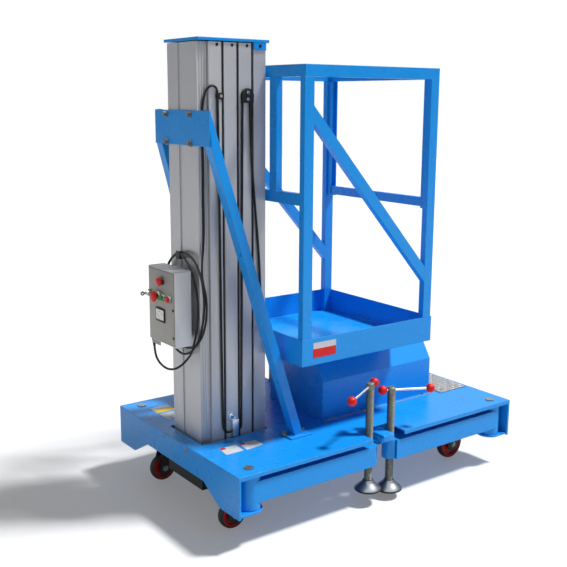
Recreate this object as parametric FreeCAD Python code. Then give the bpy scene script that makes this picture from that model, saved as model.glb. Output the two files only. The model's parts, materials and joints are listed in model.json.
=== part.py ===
import FreeCAD
import Part
import math
import os

# Vertical mast lift: a wheeled steel base with folding jack legs, four stacked aluminium mast
# sections, and a guarded one-person platform on the last section. Millimetres, +Z up.
# Lengths along X are counted from the mast end of the base; -Y is the control side's near side.
# The whole model moves by SHIFT_X at export, so that the origin is under the middle of its box.

V = FreeCAD.Vector

# Base
BASE_L = 1332.0
BASE_W = 862.0
DECK_TOP = 270.0
DECK_T = 5.0
LIP_H = 22.0
LIP_T = 5.0
END_T = 8.0
END_BOTTOM = 120.0
ARCH_TOP = 180.0
ARCH_SLOPE = 107.0
END_FOOT = 119.0
RAIL_W = 40.0
RAIL_H = 76.0
RAIL_WALL = 4.0
RAIL_LEG_GAP = 14.0
WELL_GAP = 8.0
WELL_FLOOR = 100.0
WELL_T = 5.0

# Folding legs and their hinges
LEG_W = 80.0
LEG_H = 76.0
LEG_T = 5.0
LEG_BOTTOM = 159.0
LEG_INSET = 10.0
PIN_X_MAST_END = 72.0
PIN_FROM_FAR_END = 66.0
BARREL_R = 40.0
BARREL_TOP_GAP = 6.0
LUG_T = 8.0
LUG_R = 46.0
LUG_TOP = 132.0
PIN_R = 12.5
PIN_HEAD_R = 17.0
PIN_HEAD_H = 4.0
HINGE_CLEARANCE = 0.05
SEAT_GAP = 0.3
TIP_R = 31.0
STOP_SCREW_GAP = 14.0
STOP_OVER_LEG = 5.0
STOP_T = 18.0
STOP_REACH = 40.0

# Screw jacks at the legs' tips
JACK_X_1 = 606.0
JACK_X_2 = 712.0
SCREW_R = 15.0
SCREW_TOP_1 = 468.0
SCREW_TOP_2 = 432.0
FOOT_BOTTOM_1 = 42.0
FOOT_BOTTOM_2 = 16.0
FOOT_R = 50.0
FOOT_RIM_H = 8.0
FOOT_CONE_H = 26.0
FOOT_NECK_R = 19.0
SCREW_CLEARANCE = 0.3
BAR_R = 5.0
BAR_DROP = 12.0
BALL_R = 17.5
BALL_BANDS = 8
BAR_LONG = 150.0
BAR_SHORT = 34.0
BAR_ANGLE_1 = 203.0
BAR_ANGLE_2 = -27.0
BAR_DROOP_1 = 6.0
BAR_DROOP_2 = 0.0

# Deck notch for the two jacks of one side
NOTCH_BEHIND = 23.0
NOTCH_AHEAD = 28.0
NOTCH_D = 100.0

# Casters
WHEEL_R_MAST = 52.0
WHEEL_R_FAR = 62.0
TREAD_W = 30.0
TREAD_D = 12.0
TREAD_SHOULDER = 4.0
CASTER_X_MAST = 88.0
CASTER_FROM_FAR_END = 154.0
CASTER_FROM_RAIL = 77.0
CASTER_TRAIL = 26.0
FORK_T = 3.0
FORK_GAP = 5.5
CASTER_TOP_MAST = 140.0
CASTER_TOP_FAR = 160.0
CASTER_PLATE = 84.0
CASTER_PLATE_T = 5.0
AXLE_R = 6.0
CHEEK_R = 15.0

# Mast sections
MAST_X0 = 60.0
MAST_OVER_RAIL = 71.0
REAR_HALF = 96.0
REAR_D = 40.0
SECTION_HALF = 108.0
SECTION_D = 50.0
SECTION_GAP = 10.0
SECTION_WALL = 5.0
SLOT_HALF = 22.0
GUIDE_CLEARANCE = 0.5
HEAD_HALF = 60.0
HEAD_D = 14.0
STAGE_COUNT = 3
STAGE_LIFT = 6.0
BACK_GROOVE_Y = 17.0
BACK_GROOVE_HALF = 9.0
BACK_GROOVE_D = 4.0
CAP_T = 10.0
CAP_HALF = 113.0
CAP_OVER = 3.0
CAP_FRONT_OVER = 12.0
CAP_TAB_H = 38.0
CAP_TAB_T = 4.0

# Rear brace
BRACE_TOP = 1437.0
BRACE_H = 117.0
BRACE_HALF = 182.0
BRACE_T = 6.0
STRUT_Y = 40.0
STRUT_X = 34.0
STRUT_SPARE = 200.0
STRUT_FOOT_X = 384.0
STRUT_FOOT_Y = 226.0
FOOT_PLATE_X = 96.0
FOOT_PLATE_Y = 76.0
FOOT_PLATE_T = 6.0

# Control box on the mast's rear face
CTRL_STAND = 30.0
CTRL_D = 66.0
CTRL_HALF = 94.0
CTRL_BOTTOM = 633.0
CTRL_H = 266.0
CTRL_EDGE_R = 6.0
CTRL_HANGER_H = 60.0
CTRL_HANGER_HALF = 40.0
BUTTON_PROUD = 24.0
METER_T = 5.0
METER_Y0 = -27.0
METER_Y1 = 36.0
METER_UP = 77.0
METER_H = 49.0

# Cables: the supply lead from the box, its coil on a hook, and the loop that follows the mast
CABLE_R = 4.0
CABLE_FIT = 0.1
ARC_SHARE = 0.45
GLAND_R = 8.0
GLAND_NUT_R = 11.0
GLAND_NUT_H = 8.0
GLAND_H = 22.0
GLAND_X = -24.0
GLAND_Y = 82.0
HOOK_HALF = 12.0
HOOK_T = 6.0
HOOK_LIP_T = 3.0
HOOK_LIP_H = 22.0
COIL_X0 = 38.0
COIL_X1 = 56.0
COIL_Y = -22.0
COIL_Z = 768.0
COIL_A = 159.0
COIL_B = 196.0
COIL_EYE_Y = 5.0
COIL_EYE_Z = 775.0
COIL_EYE_A = 100.0
COIL_EYE_B = 158.0
CLIP_X = 131.0
CLIP_Z = 1484.0
CLIP_H = 14.0
CLIP_R = 6.5
CLIP_TAIL = 19.0
CLIP_T = 3.0
CABLE_Y = -113.0
CLAMP_X0 = 224.0
CLAMP_X1 = 272.0
CLAMP_Z0 = 1462.0
CLAMP_Z1 = 1510.0
CLAMP_T = 12.0
GUIDE_TAB_X0 = 180.0
GUIDE_TAB_X1 = 208.0
GUIDE_TAB_Z0 = 283.0
GUIDE_TAB_Z1 = 336.0
GUIDE_EYE_R = 11.0
GUIDE_EYE_X = 181.0
GUIDE_EYE_Z = 346.0
GUIDE_TAB_T = 10.0
CABLE_BLOCK_X = 305.0
CABLE_BLOCK_HALF = 12.0
CABLE_BLOCK_T = 14.0
CABLE_BLOCK_Z0 = 690.0
CABLE_BLOCK_Z1 = 740.0

# Platform
TRAY_X0 = 340.0
TRAY_L = 631.0
TRAY_HALF = 318.0
TRAY_BOTTOM = 556.0
TRAY_TOP = 653.0
TRAY_T = 3.0
FLOOR_T = 2.0
FLOOR_GAP = 1.0
TUBE_WIDE = 40.0
TUBE_THIN = 25.0
TUBE_WALL = 2.5
RAIL_TOP = 1589.0
MID_RAIL_TOP = 1160.0
UPRIGHT_Y = 115.0
DIAGONAL_HIGH = 1455.0
DIAGONAL_LOW = 853.0
CARRIAGE_HALF = 80.0
ENTRY_BAR_TOP = 1112.0
ENTRY_BAR_H = 34.0
ENTRY_BAR_D = 22.0
GUIDE_FLANGE = 20.0
GUIDE_WALL = 4.0
GUIDE_GAP = 0.8
GUIDE_STOP_H = 6.0

# Power-unit cover on the deck
COVER_FROM_MAST = 224.0
COVER_TO_STEP = 39.0
COVER_HALF = 170.0
COVER_SHOULDER = 422.0
COVER_TOP = 512.0
COVER_IN = 58.0
COVER_T = 3.0
COVER_FLANGE = 14.0
UNIT_L = 320.0
UNIT_HALF = 80.0
UNIT_H = 120.0

# Diamond-pattern step plate
STEP_L = 153.0
STEP_FROM_END = 14.0
STEP_HALF = 205.0
STEP_T = 3.0

LEG_Y = BASE_W / 2 - LEG_INSET - LEG_W / 2
LEG_TOP = LEG_BOTTOM + LEG_H
SIDE_Y = BASE_W / 2
ARCH_HALF_BOTTOM = SIDE_Y - END_FOOT
ARCH_HALF_TOP = ARCH_HALF_BOTTOM - ARCH_SLOPE
PIN_X_FAR_END = BASE_L - PIN_FROM_FAR_END
CASTER_X_FAR = BASE_L - CASTER_FROM_FAR_END
NOTCH_X0 = JACK_X_1 - NOTCH_BEHIND
NOTCH_X1 = JACK_X_2 + NOTCH_AHEAD
MAST_TOP = RAIL_TOP + MAST_OVER_RAIL
STEP_X1 = BASE_L - STEP_FROM_END
STEP_X0 = STEP_X1 - STEP_L
DECK_LOW = DECK_TOP - DECK_T
RAIL_Y1 = LEG_Y - LEG_W / 2 - RAIL_LEG_GAP
RAIL_Y0 = RAIL_Y1 - RAIL_W
CASTER_Y = RAIL_Y1 - CASTER_FROM_RAIL
RAIL_LOW = DECK_LOW - RAIL_H
MAST_BOTTOM = WELL_FLOOR + WELL_T
MAST_FRONT = MAST_X0 + REAR_D + (STAGE_COUNT + 1) * SECTION_D + STAGE_COUNT * SECTION_GAP
COVER_X0 = MAST_FRONT + COVER_FROM_MAST
COVER_X1 = STEP_X0 - COVER_TO_STEP
WELL_X0 = MAST_X0 - WELL_GAP
WELL_X1 = MAST_FRONT + WELL_GAP
WELL_HALF = SECTION_HALF + WELL_GAP
BOX_REACH = CTRL_STAND + CTRL_D + BUTTON_PROUD - MAST_X0
SHIFT_X = -(BASE_L - BOX_REACH) / 2


def block(x0, x1, y0, y1, z0, z1):
    return Part.makeBox(x1 - x0, y1 - y0, z1 - z0, V(x0, y0, z0))


def rod(radius, z0, z1, x, y):
    return Part.makeCylinder(radius, z1 - z0, V(x, y, z0))


def across(radius, y0, y1, x, z):
    return Part.makeCylinder(radius, y1 - y0, V(x, y0, z), V(0, 1, 0))


def mirror_y(shape):
    return shape.mirror(V(0, 0, 0), V(0, 1, 0))


def pair(shape):
    return [shape, mirror_y(shape)]


def prism(points, direction):
    wire = Part.makePolygon(points + [points[0]])
    return Part.Face(wire).extrude(direction)


def fuse(shapes):
    whole = shapes[0]
    if len(shapes) > 1:
        whole = whole.fuse(shapes[1:])
    return whole.removeSplitter()


def export(name, shapes):
    solids = []
    for shape in shapes:
        moved = shape.copy()
        moved.translate(V(SHIFT_X, 0, 0))
        solids.extend(moved.Solids)
    result = solids[0] if len(solids) == 1 else Part.makeCompound(solids)
    for solid in solids:
        if not solid.isValid() or solid.Volume <= 0:
            raise RuntimeError(name + " has a bad solid")
    result.exportStep(os.path.join("parts", name + ".step"))
    volume = sum(solid.Volume for solid in solids)
    print(name, len(solids), "solids", round(volume / 1e6, 3), "litres")


# Base

def end_plate(x0):
    profile = [
        V(x0, -SIDE_Y, END_BOTTOM),
        V(x0, -ARCH_HALF_BOTTOM, END_BOTTOM),
        V(x0, -ARCH_HALF_TOP, ARCH_TOP),
        V(x0, ARCH_HALF_TOP, ARCH_TOP),
        V(x0, ARCH_HALF_BOTTOM, END_BOTTOM),
        V(x0, SIDE_Y, END_BOTTOM),
        V(x0, SIDE_Y, DECK_LOW),
        V(x0, -SIDE_Y, DECK_LOW),
    ]
    return prism(profile, V(END_T, 0, 0))


def lug(x, x_plate, y):
    # A plate with a round end about the hinge pin, welded to the end plate
    x0 = min(x, x_plate)
    x1 = max(x, x_plate)
    plate = block(x0, x1, y - LUG_R, y + LUG_R, LUG_TOP - LUG_T, LUG_TOP)
    disc = rod(LUG_R, LUG_TOP - LUG_T, LUG_TOP, x, y)
    hole = rod(PIN_R + HINGE_CLEARANCE, LUG_TOP - LUG_T, LUG_TOP, x, y)
    return plate.fuse(disc).cut(hole)


def make_ends():
    plates = [end_plate(0), end_plate(BASE_L - END_T)]
    inner = [END_T, BASE_L - END_T]
    pins = [PIN_X_MAST_END, PIN_X_FAR_END]
    ends = []
    for plate, x_plate, x in zip(plates, inner, pins):
        ends.append(fuse([plate] + pair(lug(x, x_plate, -LEG_Y))))
    export("end_plates", ends)


def tube_x(x0, x1, y0, y1, z0, z1, wall):
    # Square tube along X, open at its two ends
    outer = block(x0, x1, y0, y1, z0, z1)
    return outer.cut(block(x0, x1, y0 + wall, y1 - wall, z0 + wall, z1 - wall))


def caster_seat(x, top):
    # Bolted plate of the caster under the frame's plate, which hangs from the rail on two webs
    half = CASTER_PLATE / 2
    inner = -CASTER_Y + half
    plate = block(x - half, x + half, -RAIL_Y1, inner, top, top + CASTER_PLATE_T)
    bolted = block(x - half, x + half, -CASTER_Y - half, inner, top - CASTER_PLATE_T, top)
    webs = []
    for x0 in (x - half, x + half - CASTER_PLATE_T):
        webs.append(block(x0, x0 + CASTER_PLATE_T, -RAIL_Y1, inner, top, RAIL_LOW))
        webs.append(block(x0, x0 + CASTER_PLATE_T, -RAIL_Y0, inner, RAIL_LOW, DECK_LOW))
    return fuse([plate, bolted] + webs)


def make_frame():
    rails = pair(tube_x(END_T, BASE_L - END_T, -RAIL_Y1, -RAIL_Y0, RAIL_LOW, DECK_LOW, RAIL_WALL))
    beams = []
    for x in (WELL_X1 + WELL_T, (NOTCH_X0 + NOTCH_X1) / 2, CASTER_X_FAR + CASTER_PLATE):
        outer = block(x, x + RAIL_W, -RAIL_Y0, RAIL_Y0, RAIL_LOW, DECK_LOW)
        inner = block(x + RAIL_WALL, x + RAIL_W - RAIL_WALL, -RAIL_Y0, RAIL_Y0,
                      RAIL_LOW + RAIL_WALL, DECK_LOW - RAIL_WALL)
        beams.append(outer.cut(inner))
    outer = block(WELL_X0 - WELL_T, WELL_X1 + WELL_T, -WELL_HALF - WELL_T,
                  WELL_HALF + WELL_T, WELL_FLOOR, DECK_LOW)
    inner = block(WELL_X0, WELL_X1, -WELL_HALF, WELL_HALF, WELL_FLOOR + WELL_T, DECK_LOW)
    hangers = pair(block(WELL_X0 + RAIL_W, WELL_X0 + 2 * RAIL_W, -RAIL_Y0,
                         -WELL_HALF - WELL_T, DECK_LOW - RAIL_WALL, DECK_LOW))
    # Stops that the folded legs' tips lie under, between the two screws of a side
    stop_x0 = JACK_X_1 + SCREW_R + STOP_SCREW_GAP
    stop_x1 = JACK_X_2 - SCREW_R - STOP_SCREW_GAP
    stop_low = LEG_TOP + STOP_OVER_LEG
    stops = pair(block(stop_x0, stop_x1, -LEG_Y - STOP_REACH, -RAIL_Y1,
                       stop_low, stop_low + STOP_T))
    export("base_frame", [fuse(rails + beams + stops)])
    export("mast_well", [fuse([outer.cut(inner)] + hangers)])


def make_deck():
    sheet = block(0, BASE_L, -SIDE_Y, SIDE_Y, DECK_LOW, DECK_TOP)
    lips = pair(block(END_T, BASE_L - END_T, -SIDE_Y, -SIDE_Y + LIP_T, DECK_TOP - LIP_H, DECK_LOW))
    deck = fuse([sheet] + lips)
    low = DECK_TOP - LIP_H
    cuts = [block(WELL_X0, WELL_X1, -WELL_HALF, WELL_HALF, low, DECK_TOP)]
    cuts += pair(block(NOTCH_X0, NOTCH_X1, -SIDE_Y, -SIDE_Y + NOTCH_D, low, DECK_TOP))
    for x in (PIN_X_MAST_END, PIN_X_FAR_END):
        cuts += pair(rod(PIN_R + HINGE_CLEARANCE, low, DECK_TOP, x, -LEG_Y))
    export("deck", [deck.cut(cuts)])


def make_step():
    plate = block(STEP_X0, STEP_X1, -STEP_HALF, STEP_HALF, DECK_TOP, DECK_TOP + STEP_T)
    export("step_plate", [plate])


def make_pins():
    pins = []
    for x in (PIN_X_MAST_END, PIN_X_FAR_END):
        shaft = rod(PIN_R, LUG_TOP - LUG_T - PIN_HEAD_H, DECK_TOP, x, -LEG_Y)
        head = rod(PIN_HEAD_R, DECK_TOP, DECK_TOP + PIN_HEAD_H, x, -LEG_Y)
        pins += pair(fuse([shaft, head]))
    export("leg_pins", pins)


def cover_profile(x, inset, low):
    half = COVER_HALF - inset
    shoulder = COVER_SHOULDER - inset * 0.4
    top_half = COVER_HALF - COVER_IN - inset * 0.4
    return [
        V(x, -half, low),
        V(x, -half, shoulder),
        V(x, -top_half, COVER_TOP - inset),
        V(x, top_half, COVER_TOP - inset),
        V(x, half, shoulder),
        V(x, half, low),
    ]


def make_cover():
    base = DECK_TOP
    shell = prism(cover_profile(COVER_X0, 0, base), V(COVER_X1 - COVER_X0, 0, 0))
    inner = prism(cover_profile(COVER_X0 + COVER_T, COVER_T, base),
                  V(COVER_X1 - COVER_X0 - 2 * COVER_T, 0, 0))
    flanges = pair(block(COVER_X0, COVER_X1, -COVER_HALF - COVER_FLANGE, -COVER_HALF,
                         base, base + COVER_T))
    export("power_cover", [fuse([shell.cut(inner)] + flanges)])
    mid = (COVER_X0 + COVER_X1) / 2
    unit = block(mid - UNIT_L / 2, mid + UNIT_L / 2, -UNIT_HALF, UNIT_HALF, base, base + UNIT_H)
    export("power_unit", [unit])


# Mast

def section_x(index):
    # Rear face of the section's wide body; index 0 is the fixed one
    return MAST_X0 + REAR_D + index * (SECTION_D + SECTION_GAP)


def section_body(x, z0, slot):
    outer = block(x, x + SECTION_D, -SECTION_HALF, SECTION_HALF, z0, MAST_TOP)
    inner = block(x + SECTION_WALL, x + SECTION_D - SECTION_WALL,
                  -SECTION_HALF + SECTION_WALL, SECTION_HALF - SECTION_WALL, z0, MAST_TOP)
    body = outer.cut(inner)
    if slot:
        body = body.cut(block(x + SECTION_D - SECTION_WALL, x + SECTION_D,
                              -SLOT_HALF, SLOT_HALF, z0, MAST_TOP))
    return body


def make_mast():
    x = section_x(0)
    rear = block(MAST_X0, x, -REAR_HALF, REAR_HALF, MAST_BOTTOM, MAST_TOP)
    rear = rear.cut(block(MAST_X0 + SECTION_WALL, x - SECTION_WALL / 2, -REAR_HALF + SECTION_WALL,
                          REAR_HALF - SECTION_WALL, MAST_BOTTOM, MAST_TOP))
    rear = rear.cut(block(MAST_X0, MAST_X0 + BACK_GROOVE_D, BACK_GROOVE_Y - BACK_GROOVE_HALF,
                          BACK_GROOVE_Y + BACK_GROOVE_HALF, MAST_BOTTOM, MAST_TOP))
    export("mast_section_1", [fuse([rear, section_body(x, MAST_BOTTOM, True)])])
    for stage in range(1, STAGE_COUNT + 1):
        x = section_x(stage)
        z0 = MAST_BOTTOM + STAGE_LIFT * stage
        body = section_body(x, z0, stage < STAGE_COUNT)
        wall_x = x - SECTION_GAP - SECTION_WALL
        neck_half = SLOT_HALF - GUIDE_CLEARANCE
        head_x1 = wall_x - GUIDE_CLEARANCE
        neck = block(head_x1, x, -neck_half, neck_half, z0, MAST_TOP)
        head = block(head_x1 - HEAD_D, head_x1, -HEAD_HALF, HEAD_HALF, z0, MAST_TOP)
        pieces = [body, neck, head]
        if stage == STAGE_COUNT:
            pieces.append(block(CABLE_BLOCK_X - CABLE_BLOCK_HALF, CABLE_BLOCK_X + CABLE_BLOCK_HALF,
                                -SECTION_HALF - CABLE_BLOCK_T, -SECTION_HALF,
                                CABLE_BLOCK_Z0, CABLE_BLOCK_Z1))
        export("mast_section_" + str(stage + 1), [fuse(pieces)])
    cap_z = MAST_TOP + CAP_OVER
    plate = block(MAST_X0 - CAP_OVER, MAST_FRONT + CAP_FRONT_OVER, -CAP_HALF, CAP_HALF,
                  cap_z, cap_z + CAP_T)
    last = section_x(STAGE_COUNT)
    tabs = pair(block(last, MAST_FRONT, -SECTION_HALF - CAP_TAB_T, -SECTION_HALF,
                      MAST_TOP - CAP_TAB_H, cap_z))
    export("mast_cap", [fuse([plate] + tabs)])


# Rear brace

def strut():
    top = V(MAST_X0, -BRACE_HALF + STRUT_Y / 2, BRACE_TOP - BRACE_H / 2)
    foot = V(STRUT_FOOT_X, -STRUT_FOOT_Y, DECK_TOP + FOOT_PLATE_T)
    run = foot - top
    length = run.Length
    axis = V(run)
    axis.normalize()
    side = V(0, 1, 0) - axis * axis.dot(V(0, 1, 0))
    side.normalize()
    face = axis.cross(side)
    start = top - axis * STRUT_SPARE
    tubes = []
    for wall in (0, TUBE_WALL):
        corners = []
        for a, b in ((-1, -1), (1, -1), (1, 1), (-1, 1)):
            out = side * (a * (STRUT_Y / 2 - wall)) + face * (b * (STRUT_X / 2 - wall))
            corners.append(start + out)
        tubes.append(prism(corners, axis * (length + 2 * STRUT_SPARE)))
    bar = tubes[0].cut(tubes[1])
    keep = block(MAST_X0, STRUT_FOOT_X + STRUT_SPARE, -STRUT_FOOT_Y - STRUT_SPARE, 0,
                 DECK_TOP + FOOT_PLATE_T, BRACE_TOP + STRUT_SPARE)
    return bar.common(keep)


def make_brace():
    plate = block(MAST_X0 - BRACE_T, MAST_X0, -BRACE_HALF, BRACE_HALF,
                  BRACE_TOP - BRACE_H, BRACE_TOP)
    foot = block(STRUT_FOOT_X - FOOT_PLATE_X / 2, STRUT_FOOT_X + FOOT_PLATE_X / 2,
                 -STRUT_FOOT_Y - FOOT_PLATE_Y / 2, -STRUT_FOOT_Y + FOOT_PLATE_Y / 2,
                 DECK_TOP, DECK_TOP + FOOT_PLATE_T)
    export("brace", [fuse([plate] + pair(strut()) + pair(foot))])


# Control box

def make_control():
    back = MAST_X0 - CTRL_STAND
    front = back - CTRL_D
    top = CTRL_BOTTOM + CTRL_H
    body = block(front, back, -CTRL_HALF, CTRL_HALF, CTRL_BOTTOM, top)
    upright = [e for e in body.Edges if abs(e.tangentAt(e.FirstParameter).z) > 0.9]
    body = body.makeFillet(CTRL_EDGE_R, upright)
    export("control_box", [body])
    hangers = []
    for z in (CTRL_BOTTOM + 20, top - 20 - CTRL_HANGER_H):
        hangers.append(block(back, MAST_X0, -CTRL_HANGER_HALF, CTRL_HANGER_HALF,
                             z, z + CTRL_HANGER_H))
    eye_share = math.sqrt(1 - (HOOK_HALF / COIL_EYE_A) ** 2)
    hook_top = COIL_EYE_Z + COIL_EYE_B * eye_share - SEAT_GAP
    y0 = COIL_EYE_Y - HOOK_HALF
    y1 = COIL_EYE_Y + HOOK_HALF
    lip_x0 = COIL_X0 - HOOK_LIP_T - SEAT_GAP
    arm = block(lip_x0, MAST_X0, y0, y1, hook_top - HOOK_T, hook_top)
    lip = block(lip_x0, lip_x0 + HOOK_LIP_T, y0, y1, hook_top, hook_top + HOOK_LIP_H)
    export("control_hangers", hangers + [fuse([arm, lip])])
    buttons = []
    table = [
        # y across, z up from the box's bottom, radius, how far it stands out
        (-12, 231, 14, 20),
        (80, 168, 9, 20),
        (18, 168, 17, BUTTON_PROUD),
        (-17, 169, 11, 14),
        (-62, 168, 11, 14),
    ]
    for y, up, radius, proud in table:
        buttons.append(Part.makeCylinder(radius, proud, V(front, y, CTRL_BOTTOM + up), V(-1, 0, 0)))
    export("control_buttons", buttons)
    meter_z = CTRL_BOTTOM + METER_UP
    export("control_meter", [block(front - METER_T, front, METER_Y0, METER_Y1,
                                   meter_z, meter_z + METER_H)])


# Cables
# Each route is a list of points; the routes below keep to the mast end of the base

SUPPLY_LOW = [
    # From the gland down in a free bow and up to the coil's foot
    (GLAND_X, GLAND_Y, CTRL_BOTTOM - GLAND_H),
    (GLAND_X + 1, GLAND_Y - 1, 575),
    (-16, 66, 543),
    (-3, 34, 524),
    (10, 2, 527),
    (22, -28, 546),
    (34, -52, 573),
    (44, -72, 604),
]
SUPPLY_HIGH = [
    # From the coil's side up the mast's corner, over in an arch and into the clip
    (50, -135, 868),
    (55, -124, 905),
    (66, -109, 942),
    (76, -102, 985),
    (79, -101, 1050),
    (77, -101, 1150),
    (79, -101.5, 1260),
    (77, -101, 1360),
    (78, -101.5, 1435),
    (82, -102, 1475),
    (89, -106, 1502),
    (101, -113, 1517),
    (116, -114, 1518),
    (127, -113.5, 1509),
    (CLIP_X, CABLE_Y, CLIP_Z + CLIP_H / 2 + 6),
    (CLIP_X, CABLE_Y, CLIP_Z - CLIP_H / 2),
]
RUN_DOWN = [
    # From the clip to the guide at the second section's foot
    (CLIP_X, CABLE_Y, CLIP_Z - CLIP_H / 2),
    (132.5, CABLE_Y, 1435),
    (141, CABLE_Y, 345),
    (144, CABLE_Y, 312),
    (154, CABLE_Y - 0.5, 295),
    (167, CABLE_Y, 292),
    (GUIDE_TAB_X0 - SEAT_GAP, CABLE_Y, 292),
]
RUN_UP = [
    # From the guide to the clamp near the third section's top
    (GUIDE_TAB_X1 + SEAT_GAP, CABLE_Y, 294),
    (217, CABLE_Y, 294),
    (221, CABLE_Y, 312),
    (221, CABLE_Y, 345),
    (230, CABLE_Y, 1425),
    (231, CABLE_Y, CLAMP_Z0),
]
RUN_PLATFORM = [
    # From the clamp to the block on the last section
    (262, CABLE_Y, CLAMP_Z0),
    (263, CABLE_Y, 1410),
    (267, CABLE_Y, 1290),
    (276, CABLE_Y, 1170),
    (288, CABLE_Y, 1050),
    (299, CABLE_Y, 930),
    (304, CABLE_Y, 830),
    (CABLE_BLOCK_X, -SECTION_HALF - CABLE_BLOCK_T / 2, CABLE_BLOCK_Z1 + 30),
    (CABLE_BLOCK_X, -SECTION_HALF - CABLE_BLOCK_T / 2, CABLE_BLOCK_Z1 + SEAT_GAP),
]


def cable(name, points):
    # Straight runs joined by tangent arcs, each as large as its two runs allow
    route = [V(*point) for point in points]
    start = route[0]
    edges = []
    radii = []
    for a, b, c in zip(route, route[1:], route[2:]):
        before = b - a
        after = c - b
        half_turn = before.getAngle(after) / 2
        reach = ARC_SHARE * min(before.Length, after.Length)
        radius = reach / math.tan(half_turn)
        before.normalize()
        after.normalize()
        inward = after - before
        inward.normalize()
        enter = b - before * reach
        leave = b + after * reach
        middle = b + inward * (radius / math.cos(half_turn) - radius)
        edges.append(Part.LineSegment(start, enter).toShape())
        edges.append(Part.Arc(enter, middle, leave).toShape())
        radii.append(round(radius))
        start = leave
    edges.append(Part.LineSegment(start, route[-1]).toShape())
    path = Part.Wire(edges)
    ring = Part.Wire([Part.makeCircle(CABLE_R, route[0], route[1] - route[0])])
    tube = path.makePipeShell([ring], True, False)
    share = tube.Volume / (math.pi * CABLE_R ** 2 * path.Length)
    print(name, "length", round(path.Length), "radii", radii, "volume share", round(share, 4))
    return tube


def ellipse(x, y, z, across_y, up_z):
    centre = V(x, y, z)
    curve = Part.Ellipse(centre + V(0, 0, up_z), centre + V(0, across_y, 0), centre)
    return Part.Face(Part.Wire([curve.toShape()]))


def make_supply_cable():
    thick = V(COIL_X1 - COIL_X0, 0, 0)
    outer = ellipse(COIL_X0, COIL_Y, COIL_Z, COIL_A, COIL_B).extrude(thick)
    eye = ellipse(COIL_X0, COIL_EYE_Y, COIL_EYE_Z, COIL_EYE_A, COIL_EYE_B).extrude(thick)
    coil = outer.cut(eye)
    export("supply_coil", [coil])
    low = cable("supply low", SUPPLY_LOW).cut(coil)
    high = cable("supply high", SUPPLY_HIGH).cut(coil)
    export("supply_cable", [low, high])
    x, y = GLAND_X, GLAND_Y
    gland = rod(GLAND_R, CTRL_BOTTOM - GLAND_H, CTRL_BOTTOM, x, y)
    nut = rod(GLAND_NUT_R, CTRL_BOTTOM - GLAND_NUT_H, CTRL_BOTTOM, x, y)
    export("cable_gland", [fuse([gland, nut])])
    clip = rod(CLIP_R, CLIP_Z - CLIP_H / 2, CLIP_Z + CLIP_H / 2, CLIP_X, CABLE_Y)
    tail = block(CLIP_X, CLIP_X + CLIP_TAIL, -SECTION_HALF - CLIP_T, -SECTION_HALF,
                 CLIP_Z - CLIP_H / 2, CLIP_Z + CLIP_H / 2)
    beside = block(CLIP_X - CLIP_R, CLIP_X + CLIP_R, -SECTION_HALF, 0,
                   CLIP_Z - CLIP_H, CLIP_Z + CLIP_H)
    clip = fuse([clip.cut(beside), tail])
    export("cable_clip", [clip.cut(rod(CABLE_R + CABLE_FIT, CLIP_Z - CLIP_H, CLIP_Z + CLIP_H,
                                       CLIP_X, CABLE_Y))])


def make_mast_cable():
    export("mast_cable_1", [cable("run down", RUN_DOWN)])
    export("mast_cable_2", [cable("run up", RUN_UP), cable("run to platform", RUN_PLATFORM)])
    face = -SECTION_HALF
    tab = block(GUIDE_TAB_X0, GUIDE_TAB_X1, face - GUIDE_TAB_T, face, GUIDE_TAB_Z0, GUIDE_TAB_Z1)
    eye = Part.makeCylinder(GUIDE_EYE_R, CLIP_T, V(GUIDE_EYE_X, face, GUIDE_EYE_Z), V(0, -1, 0))
    neck = block(GUIDE_EYE_X - GUIDE_EYE_R, GUIDE_TAB_X1, face - CLIP_T, face,
                 GUIDE_TAB_Z1 - GUIDE_EYE_R, GUIDE_EYE_Z)
    export("cable_guide", [fuse([tab, eye, neck])])
    clamp = block(CLAMP_X0, CLAMP_X1, face - CLAMP_T, face, CLAMP_Z0, CLAMP_Z1)
    top_edges = [e for e in clamp.Edges
                 if abs(e.tangentAt(e.FirstParameter).y) > 0.9 and e.CenterOfMass.z > CLAMP_Z1 - 1]
    export("cable_clamp", [clamp.makeFillet((CLAMP_X1 - CLAMP_X0) / 3, top_edges)])


# Platform

def rail_ring(x0, x1, half, z0, z1):
    # Four mitred tubes; returns the two along X and the two along Y
    wall = TUBE_WALL
    along_x = [V(x0, -half, z0), V(x1, -half, z0), V(x1 - TUBE_THIN, -half + TUBE_THIN, z0),
               V(x0 + TUBE_THIN, -half + TUBE_THIN, z0)]
    bore = block(x0, x1, -half + wall, -half + TUBE_THIN - wall, z0 + wall, z1 - wall)
    sides = pair(prism(along_x, V(0, 0, z1 - z0)).cut(bore))
    ends = []
    for x_out, turn in ((x0, 1), (x1, -1)):
        x_in = x_out + turn * TUBE_THIN
        along_y = [V(x_out, -half, z0), V(x_in, -half + TUBE_THIN, z0),
                   V(x_in, half - TUBE_THIN, z0), V(x_out, half, z0)]
        x_a = x_out + turn * wall
        x_b = x_in - turn * wall
        bore = block(min(x_a, x_b), max(x_a, x_b), -half, half, z0 + wall, z1 - wall)
        ends.append(prism(along_y, V(0, 0, z1 - z0)).cut(bore))
    return sides, ends


def upright_tube(x0, x1, y0, y1, z0, z1):
    bore = block(x0 + TUBE_WALL, x1 - TUBE_WALL, y0 + TUBE_WALL, y1 - TUBE_WALL, z0, z1)
    return block(x0, x1, y0, y1, z0, z1).cut(bore)


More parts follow.
